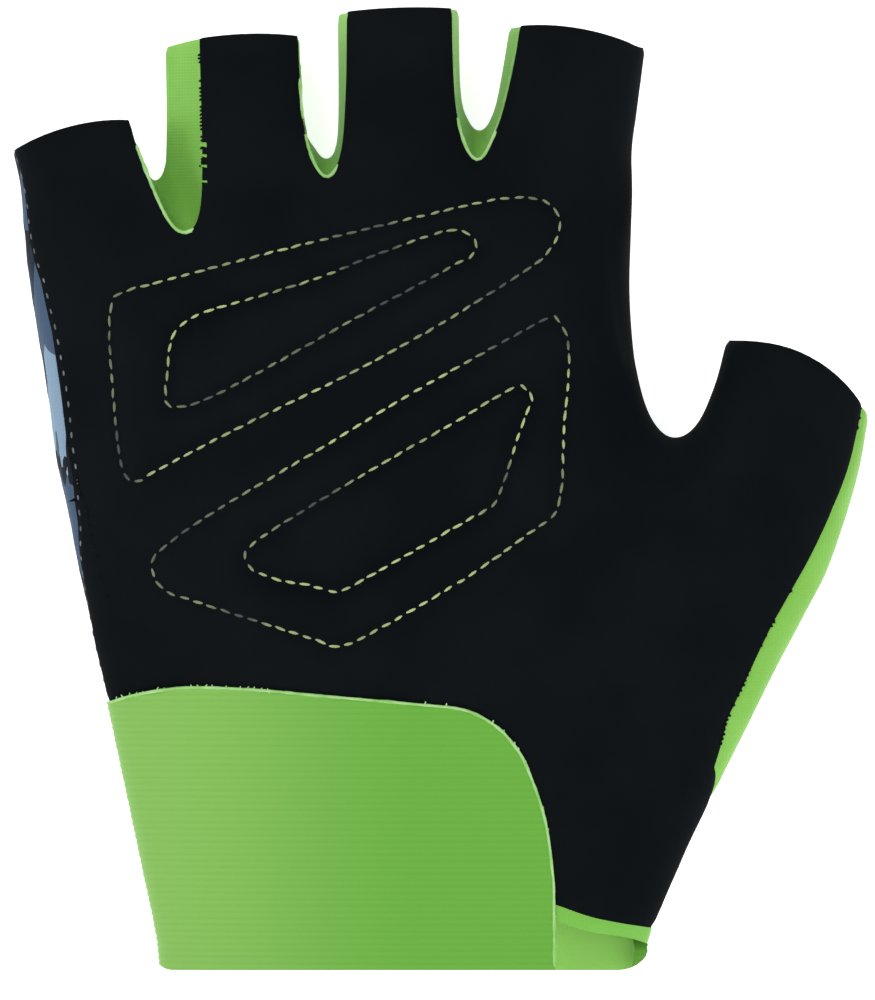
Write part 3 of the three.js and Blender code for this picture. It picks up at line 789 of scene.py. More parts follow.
    def cuff_end_cutter(self) -> Thing:
        """The block beyond the cuff's open end, rounded at the corners, more so at the thumb's."""
        size = self.sizes
        left = size.across(HAND_SECTIONS[1].left) - self.cuff_reach
        right = size.across(HAND_SECTIONS[1].right) + self.cuff_reach
        bottom = size.along(0.0)
        edge = []
        for corner, radius, inwards in zip((left, right), self.cuff_rounds, (1, -1)):
            arc = []
            for k in range(self.cuff_round_steps + 1):
                turn = math.pi / 2 * k / self.cuff_round_steps
                x = corner + inwards * radius * (1 - math.cos(turn))
                arc.append(Vector((x, bottom + radius * (1 - math.sin(turn)))))
            edge += arc if inwards > 0 else arc[::-1]
        edge.insert(0, edge[0] - Vector((self.cuff_beside, 0)))
        edge.append(edge[-1] + Vector((self.cuff_beside, 0)))
        below = [Vector((edge[-1].x, -FAR)), Vector((edge[0].x, -FAR))]
        block = prism([*edge, *below], kind=Face.END)
        lean = Matrix(((1, 0, 0, 0), (0, 1, *self.cuff_lean), (0, 0, 1, 0), (0, 0, 0, 1)))
        block.data.transform(lean)
        return block

    def build(self) -> Thing:
        """Makes the form.

        Returns:
            One closed solid, whose open ends and finger gaps have face kinds of their own.
        """
        body = self.hand()
        for part in [self.thumb(), *[self.finger(finger) for finger in FINGERS]]:
            work(body, part, Cut.WITH)
        self.even(body, self.soften)
        work(body, self.crotch_cutter(), Cut.AWAY)
        self.even(body, self.crotch_soften)
        mark(body, Face.SKIN)
        self.whole = Surface.of(body)
        for gap, kind in GAPS:
            work(body, self.gap_cutter(gap, kind), Cut.AWAY)
        for cutter in self.end_cutters():
            work(body, cutter, Cut.AWAY)
        return body

    def even(self, body: Thing, soften: int) -> None:
        """Gives the form an even mesh, rounds its joins and lays it on the floor.

        Args:
            body: The form.
            soften: How many times its points are drawn to their neighbours.
        """
        remesh = body.modifiers.new("even", "REMESH")
        remesh.mode = "VOXEL"
        remesh.voxel_size = self.voxel
        settle(body)
        bm = bmesh.new()
        bm.from_mesh(body.data)
        for _ in range(soften):
            bmesh.ops.smooth_vert(
                bm, verts=bm.verts[:], factor=0.5, use_axis_x=True, use_axis_y=True, use_axis_z=True
            )
        for vert in bm.verts:
            vert.co.z = max(vert.co.z, 0.0)
        bm.to_mesh(body.data)
        bm.free()


@dataclass
class Regions:
    """The blocks that the form is cut with along its seams."""

    sizes: GloveSizes = SIZES
    split_level: float = 9.0  # the fingers' sides belong to the palm above it, else to the back

    def corners(self, points: Sequence[Point], steps: int = 1) -> list[Vector]:
        """A line's points in millimetres, smoothed if it has steps."""
        return [Vector(row) for row in self.sizes.line(points, steps)]

    def above_seam(self, rows: Sequence[SeamPoint]) -> Thing:
        """The space above a seam that is drawn as seen from the side."""
        size = self.sizes
        outline = [(size.along(row.at), row.level * size.palm_height) for row in rows]
        outline += [(outline[-1][0], FAR), (outline[0][0], FAR)]
        block = prism(outline)
        block.data.transform(Matrix(((0, 0, 1, 0), (1, 0, 0, 0), (0, 1, 0, 0), (0, 0, 0, 1))))
        return block

    def beside(self, points: Sequence[Point], side: float) -> Thing:
        """The space on one side of a line that runs from the cuff to the finger ends."""
        line = self.corners(points)
        line[0].y, line[-1].y = -FAR / 2, FAR / 2
        return self.closed(line, (side * FAR, line[-1].y), (side * FAR, line[0].y))

    def closed(self, line: Sequence[Vector], *corners: Point) -> Thing:
        """An upright block over a line that is closed through some more corners."""
        return prism([*line, *[Vector(corner) for corner in corners]])

    def everywhere(self, low: float) -> Thing:
        """All the space above a level, a little narrower than the other blocks."""
        reach = FAR * 0.9
        corners = [(-reach, -reach), (reach, -reach), (reach, reach), (-reach, reach)]
        return prism(corners, low, reach)

    def upper(self) -> Thing:
        """The space of the palm's pieces, above all the seams."""
        little = self.beside(LITTLE_SIDE_LINE, -1)
        work(little, self.above_seam(LITTLE_SIDE_SEAM), Cut.WITHIN)
        thumb = self.beside(THUMB_SIDE_LINE, 1)
        work(thumb, self.above_seam(THUMB_SIDE_SEAM), Cut.WITHIN)
        crotch = work(self.beside(INDEX_LINE, 1), self.beside(THUMB_SIDE_LINE, 1), Cut.AWAY)
        work(crotch, self.everywhere(self.sizes.back_wrap), Cut.WITHIN)
        middle = self.everywhere(self.split_level)
        work(middle, self.beside(LITTLE_SIDE_LINE, -1), Cut.AWAY)
        work(middle, self.beside(THUMB_SIDE_LINE, 1), Cut.AWAY)
        work(middle, self.beside(INDEX_LINE, 1), Cut.AWAY)
        for part in (little, thumb, crotch):
            work(middle, part, Cut.WITH)
        return middle

    def cuff_front(self) -> Thing:
        """The space of the cuff band on the palm side."""
        seam = self.corners(CUFF_SEAM, 8)
        return self.closed(seam, (seam[0].x, seam[-1].y))

    def cuff_back(self) -> Thing:
        """The space of the cuff band on the back."""
        seam = self.corners(CUFF_BACK_SEAM, 8)
        return self.closed(seam, (FAR, seam[-1].y), (FAR, -FAR), (seam[0].x, -FAR))

    def thumb_space(self) -> Thing:
        """The space of the thumb's back piece."""
        seam = self.corners(THUMB_BACK_SEAM, 8)
        return self.closed(seam, (FAR, seam[-1].y), (FAR, seam[0].y))

    def under_hem(self, points: Sequence[Point]) -> Thing:
        """The space under the hem tape's upper or lower edge, beside the cuff band."""
        line = self.corners(points, 5)
        return self.closed(line, (FAR, line[-1].y), (FAR, -FAR), (line[0].x, -FAR))


@dataclass
class Surface:
    """A skin that points and stitches are laid on."""

    tree: BVHTree
    start_above: float = 90.0  # where the lines of sight from above start
    start_beside: float = 150.0  # where those from the side start

    @classmethod
    def of(cls, *things: Thing) -> Surface:
        """The outer skin of one or several objects."""
        bm = bmesh.new()
        for thing in things:
            bm.from_mesh(thing.data)
        tree = BVHTree.FromBMesh(bm)
        bm.free()
        return cls(tree)

    def above(self, x: float, y: float) -> Spot | None:
        """The place and normal that a point seen from straight above has, if there is one."""
        eye = Vector((x, y, self.start_above))
        place, normal, _, _ = self.tree.ray_cast(eye, Vector((0, 0, -1)))
        return (place, normal) if place else None

    def beside(self, y: float, z: float, side: float) -> Spot | None:
        """The place and normal that a point seen from one side has, if there is one."""
        eye = Vector((side * self.start_beside, y, z))
        place, normal, _, _ = self.tree.ray_cast(eye, Vector((-side, 0, 0)))
        return (place, normal) if place else None

    def nearest(self, point: Vector) -> Spot:
        """The nearest place of the skin and its normal."""
        place, normal, _, _ = self.tree.find_nearest(point)
        return place, normal


def tree_of(points: np.ndarray) -> KDTree:
    """A search tree over points."""
    tree = KDTree(len(points))
    for k, point in enumerate(points):
        tree.insert(point, k)
    tree.balance()
    return tree


def distances(points: np.ndarray, tree: KDTree | None) -> np.ndarray:
    """How far each point is from the nearest of a tree's points."""
    if tree is None:
        return np.full(len(points), NOWHERE)
    return np.array([tree.find(point)[2] for point in points])


@dataclass
class PadRelief:
    """The padding under the palm: two fields sewn down along their outlines."""

    rise: float = 1.2
    roll: float = 1.9  # how far from a stitch line the padding takes to rise
    groove: float = 0.35
    groove_width: float = 0.7
    pitch: float = 0.25  # the spacing of the points that stand for the stitch lines
    top: Point = (10.0, 13.0)  # the padding sets in between these levels
    lines: list[np.ndarray] = field(default_factory=list)
    outers: list[np.ndarray] = field(default_factory=list)

    def __post_init__(self) -> None:
        """Runs the stitch lines through their points."""
        for outer, inner in zip(PAD_OUTLINES, PAD_FIELDS):
            self.outers.append(closed_line(outer))
            self.lines += [self.outers[-1], closed_line(inner)]
        dense = np.vstack([spaced(line, self.pitch) for line in self.lines])
        self.tree = tree_of(flattened(dense))

    def inside(self, points: np.ndarray) -> np.ndarray:
        """Whether each point, seen from above, lies within a pad's outer outline."""
        found = np.zeros(len(points), bool)
        for outline in self.outers:
            x0, y0 = outline[:-1].T
            x1, y1 = outline[1:].T
            x, y = points[:, :1], points[:, 1:2]
            crosses = (y0 > y) != (y1 > y)
            slope = (x1 - x0) * (y - y0) / np.where(y1 == y0, 1e-9, y1 - y0) + x0
            found |= (np.sum(crosses & (x < slope), axis=1) % 2).astype(bool)
        return found

    def reach(self, points: np.ndarray) -> np.ndarray:
        """How far each point, seen from above, is from the nearest stitch line."""
        return distances(flattened(points), self.tree)

    def heights(self, points: np.ndarray) -> np.ndarray:
        """How far the padding lifts the leather at each point."""
        reach = self.reach(points)
        full = self.rise * (1 - np.exp(-((reach / self.roll) ** 2)))
        groove = self.groove * np.exp(-((reach / self.groove_width) ** 2))
        return np.where(self.inside(points), full, 0.0) - groove


@dataclass
class Wrinkles:
    """The soft waves of the cloth, the same for every panel so that the seams stay closed."""

    sizes: GloveSizes = SIZES
    depth: float = 0.55
    fine_depth: float = 0.14
    calm: Point = (0.24, 0.42)  # the waves set in between these shares of the length
    floor: Point = (0.8, 5.0)  # and between these levels
    coarse: Color = (0.035, 0.05, 0.05)  # how many waves come in a millimetre along each axis
    slant: float = 0.02
    fine: Color = (0.16, 0.1, 0.12)
    fine_start: float = 7.0
    crease_floor: Point = (8.0, 12.0)
    crease_pitch: float = 0.4
    creases: tuple[tuple[tuple[Point, ...], float, float], ...] = ()

    def heights(self, points: np.ndarray) -> np.ndarray:
        """How far the waves lift each point."""
        calm = smoothstep(*[self.sizes.along(share) for share in self.calm], points[:, 1])
        lift = smoothstep(*self.floor, points[:, 2])
        (a, b, c), (d, e, f) = self.coarse, self.fine
        waves = []
        for x, y, z in points:
            coarse = noise.noise(Vector((x * a, y * b + x * self.slant, z * c)))
            fine = noise.noise(Vector((x * d + self.fine_start, y * e, z * f)))
            waves.append(self.depth * coarse + self.fine_depth * fine)
        made = np.array(waves) * calm * lift
        for line, depth, width in self.creases:
            dense = spaced(smooth_line(line, 8), self.crease_pitch)
            away = distances(flattened(points), tree_of(flattened(dense)))
            lift = smoothstep(*self.crease_floor, points[:, 2])
            made -= depth * np.exp(-((away / width) ** 2)) * lift
        return made


@dataclass(frozen=True)
class Border:
    """How a panel turns in along one kind of its borders."""

    depth: float
    width: float
    tuck: float = 0.0  # how far it also drops, where it goes under its neighbour


@dataclass
class Panel:
    """One cut panel of the glove, from a skin of its form."""

    name: str
    node: str
    slot: str
    wall: float
    seam: Border = Border(0.42, 1.0)
    end: Border = Border(0.3, 0.55)
    fine: float = 2.2  # the mesh is finer up to this far from a border
    longest: float = 0.4  # where it is finer, longer edges are cut in two
    join: float = 0.14  # border points closer than this become one
    sliver: float = 0.02
    inset: float = 0.0  # how far the whole panel lies inside the form
    skin: Thing | None = None

    def cut(self, solid: Thing, kept: Face) -> Panel:
        """Takes the skin of one kind off a solid.

        Args:
            solid: The form, already cut to the panel's region, which is used up.
            kept: The kind of the skin's faces.

        Returns:
            The panel itself.
        """
        bm = bmesh.new()
        bm.from_mesh(solid.data)
        ends = bm.verts.layers.int.new("end")
        for face in bm.faces:
            if face.material_index == Face.END.value:
                for vert in face.verts:
                    vert[ends] = 1
        others = [face for face in bm.faces if face.material_index != kept.value]
        bmesh.ops.delete(bm, geom=others, context="FACES")
        border = [vert for vert in bm.verts if vert.is_boundary]
        bmesh.ops.remove_doubles(bm, verts=border, dist=self.join)
        bmesh.ops.dissolve_degenerate(bm, edges=bm.edges[:], dist=self.sliver)
        self.refine(bm)
        self.skin = shape_of(bm, self.name)
        drop(solid)
        return self

    def borders(self, bm: bmesh.types.BMesh) -> tuple[KDTree | None, KDTree | None]:
        """Search trees over the panel's sewn borders and its open ends."""
        ends = bm.verts.layers.int["end"]
        found: tuple[list[np.ndarray], list[np.ndarray]] = ([], [])
        for edge in bm.edges:
            if not edge.is_boundary:
                continue
            a, b = edge.verts
            kind = 1 if a[ends] and b[ends] else 0
            for t in (0.0, 0.25, 0.5, 0.75):
                found[kind].append(a.co.lerp(b.co, t))
        return tuple(tree_of(np.array(points)) if points else None for points in found)

    def refine(self, bm: bmesh.types.BMesh) -> None:
        """Makes the mesh finer along the borders."""
        seams, ends = self.borders(bm)
        near = set()
        for vert in bm.verts:
            away = min(tree.find(vert.co)[2] for tree in (seams, ends) if tree)
            if away < self.fine or self.wants_fine(vert.co):
                near.add(vert)
        edges = [
            edge
            for edge in bm.edges
            if edge.verts[0] in near and edge.verts[1] in near and edge.calc_length() > self.longest
        ]
        bmesh.ops.subdivide_edges(bm, edges=edges, cuts=1, use_grid_fill=True)

    def wants_fine(self, place: Vector) -> bool:
        """Whether the mesh is finer at a place away from the borders too."""
        return False

    def relief(self, points: np.ndarray) -> np.ndarray:
        """How far the panel's own relief lifts each point."""
        return np.full(len(points), -self.inset)

    def shape(self, wrinkles: Wrinkles) -> None:
        """Lifts the skin by the waves and its own relief, and turns it in along its borders."""
        bm = bmesh.new()
        bm.from_mesh(self.skin.data)
        bmesh.ops.recalc_face_normals(bm, faces=bm.faces[:])
        self.face_outwards(bm)
        bm.normal_update()
        seams, ends = self.borders(bm)
        points = np.array([vert.co for vert in bm.verts])
        normals = np.array([vert.normal for vert in bm.verts])
        from_seam, from_end = distances(points, seams), distances(points, ends)
        lift = wrinkles.heights(points) + self.relief(points)
        at_seam = np.exp(-((from_seam / self.seam.width) ** 2))
        lift -= self.seam.depth * at_seam
        lift -= self.end.depth * np.exp(-((from_end / self.end.width) ** 2))
        points += normals * lift[:, None]
        points[:, 2] -= self.seam.tuck * at_seam
        points[:, 2] = np.maximum(points[:, 2], 0.0)
        for vert, place in zip(bm.verts, points):
            vert.co = place
        bm.to_mesh(self.skin.data)
        bm.free()

    def face_outwards(self, bm: bmesh.types.BMesh) -> None:
        """Turns the skin's faces so that they look out of the glove."""
        inside = Vector((-8.0, 0.0, 9.0))
        facing = 0.0
        for face in bm.faces:
            facing += (face.calc_center_median() - inside).dot(face.normal) * face.calc_area()
        if facing < 0:
            bmesh.ops.reverse_faces(bm, faces=bm.faces[:])

    def thicken(self) -> Panel:
        """Gives the skin its wall, inwards."""
        thick = self.skin.modifiers.new("wall", "SOLIDIFY")
        thick.thickness = self.wall
        thick.offset = -1.0
        thick.use_rim = True
        settle(self.skin)
        return self

    def finish(self, finish: Finish) -> Thing:
        """Brings the panel to metres, dresses it and hands it to the frame."""
        return finished(self.skin, self.name, [finish], [self.node])


def finished(
    thing: Thing, name: str, finishes: Sequence[Finish], nodes: Sequence[str] = ()
) -> Thing:
    """Brings a piece to metres, dresses it and hands it to the frame.

    Args:
        thing: The piece, in millimetres.
        name: Its name.
        finishes: Its materials, by the kinds of its faces.
        nodes: The nodes that it stands for, if any.

    Returns:
        The finished piece.
    """
    thing.name = name
    thing.data.name = name
    thing.data.transform(Matrix.Scale(METRES, 4))
    kinds = [min(face.material_index, len(finishes) - 1) for face in thing.data.polygons]
    thing.data.materials.clear()
    for finish in finishes:
        thing.data.materials.append(finish.build())
    thing.data.polygons.foreach_set("material_index", kinds)
    thing.data.polygons.foreach_set("use_smooth", [True] * len(thing.data.polygons))
    thing.data.set_sharp_from_angle(angle=math.radians(SHARP_ANGLE))
    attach(thing, "root")
    if nodes:
        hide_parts(*nodes)
    LOG.info("%s: %d faces", name, len(thing.data.polygons))
    return thing


@dataclass
class PalmPanel(Panel):
    """The suede palm with the fronts of the fingers and the thumb."""

    pads: PadRelief | None = None
    pad_level: float = 12.0  # the pads lie above it
    pad_fine: float = 1.7  # the mesh is finer up to this far from their stitch lines

    def wants_fine(self, place: Vector) -> bool:
        """Whether a place is near a pad's stitch line."""
        if place.z <= self.pad_level:
            return False
        return self.pads.tree.find((place.x, place.y, 0))[2] < self.pad_fine

    def relief(self, points: np.ndarray) -> np.ndarray:
        """The padding's lift on the palm side."""
        return self.pads.heights(points) * smoothstep(*self.pads.top, points[:, 2])


@dataclass
class CuffBand:
    """The ribbed elastic band, one closed thick tube that is cut to its outline."""

    form: GloveForm
    columns: int = 150
    ring_points: int = 240
    ring_steps: int = 500
    rows_a_rib: int = 5
    rows_a_ring_inside: int = 6
    rib_pitch: float = 1.03
    rib_depth: float = 0.15
    rib_middle: float = 0.6  # the share of a rib's depth that lies at the band's level
    raised: float = 0.25
    raised_from: float = 1.5  # the band stands out in full from this level on
    low: float = -0.03  # the shares of the glove's length that the tube spans before it is cut
    high: float = 0.33

    def section_at(self, at: float) -> list[Vector]:
        """The hand's section at a share of the glove's length, evenly spaced."""
        rows = np.array([tuple(row) for row in HAND_SECTIONS])
        row = Section(at, *[float(np.interp(at, rows[:, 0], rows[:, k])) for k in (1, 2, 3)])
        ring = np.array(self.form.hand_section(row, self.ring_points))
        around = np.sum(np.linalg.norm(np.diff(ring, axis=0), axis=1))
        even = spaced(np.vstack([ring, ring[:1]]), 1e-3 + around / self.ring_steps)
        pick = np.linspace(0, len(even) - 1, self.columns + 1)[:-1]
        return [Vector(even[int(round(k))]) for k in pick]

    def build(self, surface: Surface, region: Thing) -> Thing:
        """Makes the band.

        Args:
            surface: The form's skin, which the band lies on.
            region: The block that the band fills, which is used up.

        Returns:
            The band as a closed solid.
        """
        size = self.form.sizes
        start, stop = size.along(self.low), size.along(self.high)
        step = self.rib_pitch / self.rows_a_rib
        levels = np.arange(start, stop, step)
        outer, inner = [], []
        for k, y in enumerate(levels):
            wanted_inner = k % self.rows_a_ring_inside == 0 or k == len(levels) - 1
            share = (y + size.glove_length / 2) / size.glove_length
            for_outer, for_inner = [], []
            wave = abs(math.sin(math.pi * y / self.rib_pitch))
            rib = self.rib_depth * (wave - self.rib_middle)
            for point in self.section_at(share):
                place, normal = surface.nearest(point)
                flat = Vector((normal.x, 0, normal.z)).normalized()
                rise = min(place.z / self.raised_from, 1.0)
                put = place + flat * (self.raised + rib) * rise
                for_outer.append(Vector((put.x, y, max(put.z, 0.0))))
                if wanted_inner:
                    deep = place - flat * size.elastic_wall
                    for_inner.append(Vector((deep.x, y, deep.z)))
            outer.append(for_outer)
            if wanted_inner:
                inner.append(for_inner)
        band = mark(shape_of(woven([*outer, *reversed(inner)]), "cuff_band"), Face.SKIN)
        # the inner faces get the second material, a brighter copy of the elastic that is painted light
        # against the shade inside the cuff
        for face in band.data.polygons:
            place, normal = surface.nearest(face.center)
            if (face.center - place).dot(normal) < -size.elastic_wall / 2:
                face.material_index = Face.END.value
        return work(band, mark(region, Face.SKIN), Cut.WITHIN)


@dataclass
class Stitching:
    """Short threads laid along lines on the glove, joined into one piece."""

    length: float
    width: float
    height: float
    pitch: float
    seed: int = 5
    bm: bmesh.types.BMesh = field(default_factory=bmesh.new)

    def sew(self, places: Iterable[tuple[Vector, Vector, Vector]], jitter: float = 0.06) -> None:
        """Adds one thread at each place.

        Args:
            places: Each thread's middle, its direction and the surface's normal.
            jitter: How far the threads stray, as a share of their length.
        """
        chance = random.Random(self.seed)
        for middle, along, normal in places:
            side = normal.cross(along).normalized()
            along = side.cross(normal).normalized()
            along = (along + side * chance.uniform(-jitter, jitter) * 2).normalized()
            side = normal.cross(along).normalized()
            scale = 1 + chance.uniform(-jitter, jitter) * 2
            axes = (
                along * self.length / 2 * scale,
                side * self.width / 2,
                normal * self.height / 2,
            )
            turn = Matrix(axes).transposed()
            spot = Matrix.Translation(middle + along * chance.uniform(-jitter, jitter) * self.length)
            bmesh.ops.create_uvsphere(
                self.bm,
                u_segments=6,
                v_segments=5,
                radius=1.0,
                matrix=spot @ turn.to_4x4() @ Matrix.Rotation(math.pi / 2, 4, "Y"),
            )

    def along(self, line: Sequence[Spot], sink: float = 0.0) -> None:
        """Sews threads one behind another along a line, sunk into the cloth by some way."""
        places = []
        for k, (here, normal) in enumerate(line):
            places.append((here - normal * sink, run_at(line, k), normal))
        self.sew(places)

    def across(self, line: Sequence[Spot], lean: float) -> None:
        """Sews threads across a line, which lean along it by a share of their length."""
        places = []
        for k, (here, normal) in enumerate(line):
            run = run_at(line, k).normalized()
            side = run.cross(normal).normalized()
            places.append((here, side + run * lean, normal))
        self.sew(places, 0.12)

    def build(self, name: str) -> Thing:
        """All the threads as one object."""
        return shape_of(self.bm, name)


def cord(
    line: Sequence[Spot], radius: float, name: str, count: int = 7, uneven: float = 0.45
) -> Thing:
    """A thin cord along a line of places and normals.

    Args:
        line: The places and normals.
        radius: The cord's radius.
        name: The object's name.
        count: How many points its round has.
        uneven: How much its radius strays, as a share.

    Returns:
        The cord.
    """
    rings = []
    for k, (here, normal) in enumerate(line):
        run = run_at(line, k).normalized()
        side = run.cross(normal).normalized()
        up = side.cross(run).normalized()
        tip = 1 if 0 < k < len(line) - 1 else 0.4
        swell = radius * (1 + uneven * noise.noise(here * 0.9)) * tip
        turns = [math.tau * j / count for j in range(count)]
        rings.append([here + (side * math.cos(turn) + up * math.sin(turn)) * swell for turn in turns])
    return shape_of(bridged(rings), name)


def feed(tree: NodeTree, node: bpy.types.Node, inputs: dict[str | int, object]) -> None:
    """Sets a node's inputs, or joins them where they are given another node's output."""
    for key, value in inputs.items():
        if isinstance(value, bpy.types.NodeSocket):
            tree.links.new(value, node.inputs[key])
        else:
            node.inputs[key].default_value = value


def node_of(
    tree: NodeTree, kind: str, inputs: dict[str | int, object], **settings: str
) -> bpy.types.Node:
    """Adds a shader node.

    Args:
        tree: The material's nodes.
        kind: The node's kind.
        inputs: What its inputs are set or joined to.
        settings: The node's own settings.

    Returns:
        The node.
    """
    node = tree.nodes.new("ShaderNode" + kind)
    for key, value in settings.items():
        setattr(node, key, value)
    feed(tree, node, inputs)
    return node


def grain(tree: NodeTree, place: Socket, scale: float, detail: float) -> Socket:
    """A cloudy texture with so many clouds in a millimetre."""
    inputs = {"Vector": place, "Scale": scale / METRES, "Detail": detail}
    return node_of(tree, "TexNoise", inputs).outputs["Fac"]


def furrows(tree: NodeTree, place: Socket, axis: str, pitch: float, stray: float = 0.0) -> Socket:
    """Even lines across an axis at a pitch in millimetres, which stray a little."""
    inputs = {"Vector": place, "Scale": math.tau / (20 * pitch * METRES), "Distortion": stray}
    return node_of(tree, "TexWave", inputs, bands_direction=axis).outputs["Fac"]


@dataclass(frozen=True)
class Finish:
    """A cloth or thread finish."""

    name: str
    color: Color
    second: Color | None = None
    patch: float = 0.1  # how many patches of the second colour come in a millimetre
    patch_edge: Point = (0.38, 0.62)  # where the patches' soft edges start and stop
    roughness: float = 0.85
    gloss: float = 0.15
    sheen: float = 0.0
    sheen_color: Color = (1.0, 1.0, 1.0)
    nap: float = 0.0  # the depth of the nap in millimetres
    nap_scale: float = 5.0
    weave: float = 0.0  # the pitch of the knit in millimetres
    weave_depth: float = 0.05
    painted_sheen_span: Point | None = None  # a painted sheen: the second, paler colour turns into the first between these, across
    rib: float = 0.0  # the pitch of the darker lines of painted shade across the glove in millimetres
    rib_painted_shade: float = 0.035  # how much darker the painted shade makes them

    def build(self) -> bpy.types.Material:
        """Makes the material, once."""
        found = bpy.data.materials.get(self.name)
        if found:
            return found
        material = bpy.data.materials.new(self.name)
        material.use_nodes = True
        tree = material.node_tree
        place = tree.nodes.new("ShaderNodeTexCoord").outputs["Object"]
        inputs = {
            "Base Color": (*self.color, 1.0),
            "Roughness": self.roughness,
            "Specular IOR Level": self.gloss,
            "Sheen Weight": self.sheen,
            "Sheen Roughness": 0.35,
            "Sheen Tint": (*self.sheen_color, 1.0),
        }
        if self.second:
            color = self.with_painted_sheen(tree, place) if self.painted_sheen_span else self.patches(tree, place)
            inputs["Base Color"] = self.with_painted_furrow_shade(tree, place, color) if self.rib else color
        relief = self.bumps(tree, place)
        if relief:
            inputs["Normal"] = relief
        feed(tree, tree.nodes["Principled BSDF"], inputs)
        return material

    def mixed(self, tree: NodeTree, share: Socket) -> Socket:
        """The first colour with a share of the second."""
        inputs = {0: share, 6: (*self.color, 1.0), 7: (*self.second, 1.0)}
        return node_of(tree, "Mix", inputs, data_type="RGBA").outputs[2]

    def with_painted_sheen(self, tree: NodeTree, place: Socket) -> Socket:
        """A painted sheen: the second, paler colour on the left, which fades into the first."""
        inputs = {
            "Value": node_of(tree, "SeparateXYZ", {0: place}).outputs["X"],
            "From Min": self.painted_sheen_span[0] * METRES,
            "From Max": self.painted_sheen_span[1] * METRES,
            "To Min": 1.0,
            "To Max": 0.0,
        }
        spread = node_of(tree, "MapRange", inputs, interpolation_type="SMOOTHSTEP")
        return self.mixed(tree, spread.outputs["Result"])

    def with_painted_furrow_shade(self, tree: NodeTree, place: Socket, color: Socket) -> Socket:
        """The colour with a darker line of painted shade in each furrow between the ribs."""
        inputs = {"Value": furrows(tree, place, "Y", self.rib), "To Min": 1.0 - self.rib_painted_shade}
        shade = node_of(tree, "MapRange", inputs).outputs["Result"]
        return node_of(tree, "HueSaturation", {"Value": shade, "Color": color}).outputs["Color"]

    def patches(self, tree: NodeTree, place: Socket) -> Socket:
        """The two colours in soft patches."""
        low, high = self.patch_edge
        inputs = {"Value": grain(tree, place, self.patch, 3.0), "From Min": low, "From Max": high}
        return self.mixed(tree, node_of(tree, "MapRange", inputs).outputs["Result"])

    def bumps(self, tree: NodeTree, place: Socket) -> Socket | None:
        """The nap and the knit as fine reliefs, each laid over the one before it."""
        reliefs = []
        if self.nap:
            reliefs.append((grain(tree, place, self.nap_scale, 2.0), self.nap))
        if self.weave:
            for axis in ("X", "Y"):
                reliefs.append((furrows(tree, place, axis, self.weave, 0.6), self.weave_depth))
        last = None
        for height, depth in reliefs:
            inputs = {"Height": height, "Distance": depth * METRES, "Strength": 1.0}
            if last:
                inputs["Normal"] = last
            last = node_of(tree, "Bump", inputs).outputs["Normal"]
        return last


@dataclass(frozen=True)
class PrintFinish(Finish):
    """The back's printed knit: angular shards of pale colours on a dark ground."""

    middle: Color = (0.045, 0.075, 0.125)
    pale: Color = (0.17, 0.25, 0.34)
    stops: tuple[float, ...] = (0.0, 0.34, 0.54, 0.76)  # where each colour starts among the shards
    lean: Color = (0.3, 0.5, 0.35)
    shards: Color = (0.22, 0.07, 0.22)  # how many shards come in a millimetre along each axis

    def patches(self, tree: NodeTree, place: Socket) -> Socket:
        """Shards of four colours."""
        scale = tuple(share / METRES for share in self.shards)
        inputs = {"Vector": place, "Rotation": self.lean, "Scale": scale}
        inputs = {"Vector": node_of(tree, "Mapping", inputs).outputs["Vector"], "Scale": 1.0}
        shards = node_of(tree, "TexVoronoi", inputs, distance="CHEBYCHEV").outputs["Color"]
        pick = node_of(tree, "SeparateColor", {"Color": shards}).outputs["Red"]
        ramp = node_of(tree, "ValToRGB", {"Fac": pick})
        ramp.color_ramp.interpolation = "CONSTANT"
        elements = ramp.color_ramp.elements
        colors = (self.color, self.second, self.middle, self.pale)
        for k, (at, color) in enumerate(zip(self.stops, colors)):
            stop = elements[k] if k < 2 else elements.new(at)
            stop.position = at
            stop.color = (*color, 1.0)
        return ramp.outputs["Color"]


# What the green cloths have in common.
GREEN = {"roughness": 0.8, "sheen": 0.25, "sheen_color": (0.85, 1.0, 0.75)}

SUEDE = Finish(
    "suede_cloth",
    (0.0026, 0.0038, 0.0047),
    (0.0036, 0.005, 0.0061),
    patch=0.05,
    roughness=0.95,
    gloss=0.03,
    sheen=0.008,
    sheen_color=(0.6, 0.8, 1.0),
    nap=0.05,
    nap_scale=4.0,
)
PRINT = PrintFinish(
    "print_cloth",
    (0.004, 0.007, 0.012),
    (0.01, 0.019, 0.036),
    roughness=0.7,
    gloss=0.1,
    sheen=0.03,
    weave=0.6,
    weave_depth=0.03,
)
STRETCH = Finish(
    "stretch_cloth",
    (0.156, 0.375, 0.057),
    (0.172, 0.4, 0.068),
    weave=0.5,
    weave_depth=0.02,
    **GREEN,
)
ELASTIC = Finish(
    "elastic_cloth",
    (0.101, 0.297, 0.036),
    (0.166, 0.352, 0.071),
    weave=0.4,
    weave_depth=0.008,
    # the paler second colour on the left is a painted sheen of the light from the left
    painted_sheen_span=(-46.0, -2.0),
    # the darker lines between the ribs are painted shade in the furrows
    rib=CuffBand.rib_pitch,
    **GREEN,
)
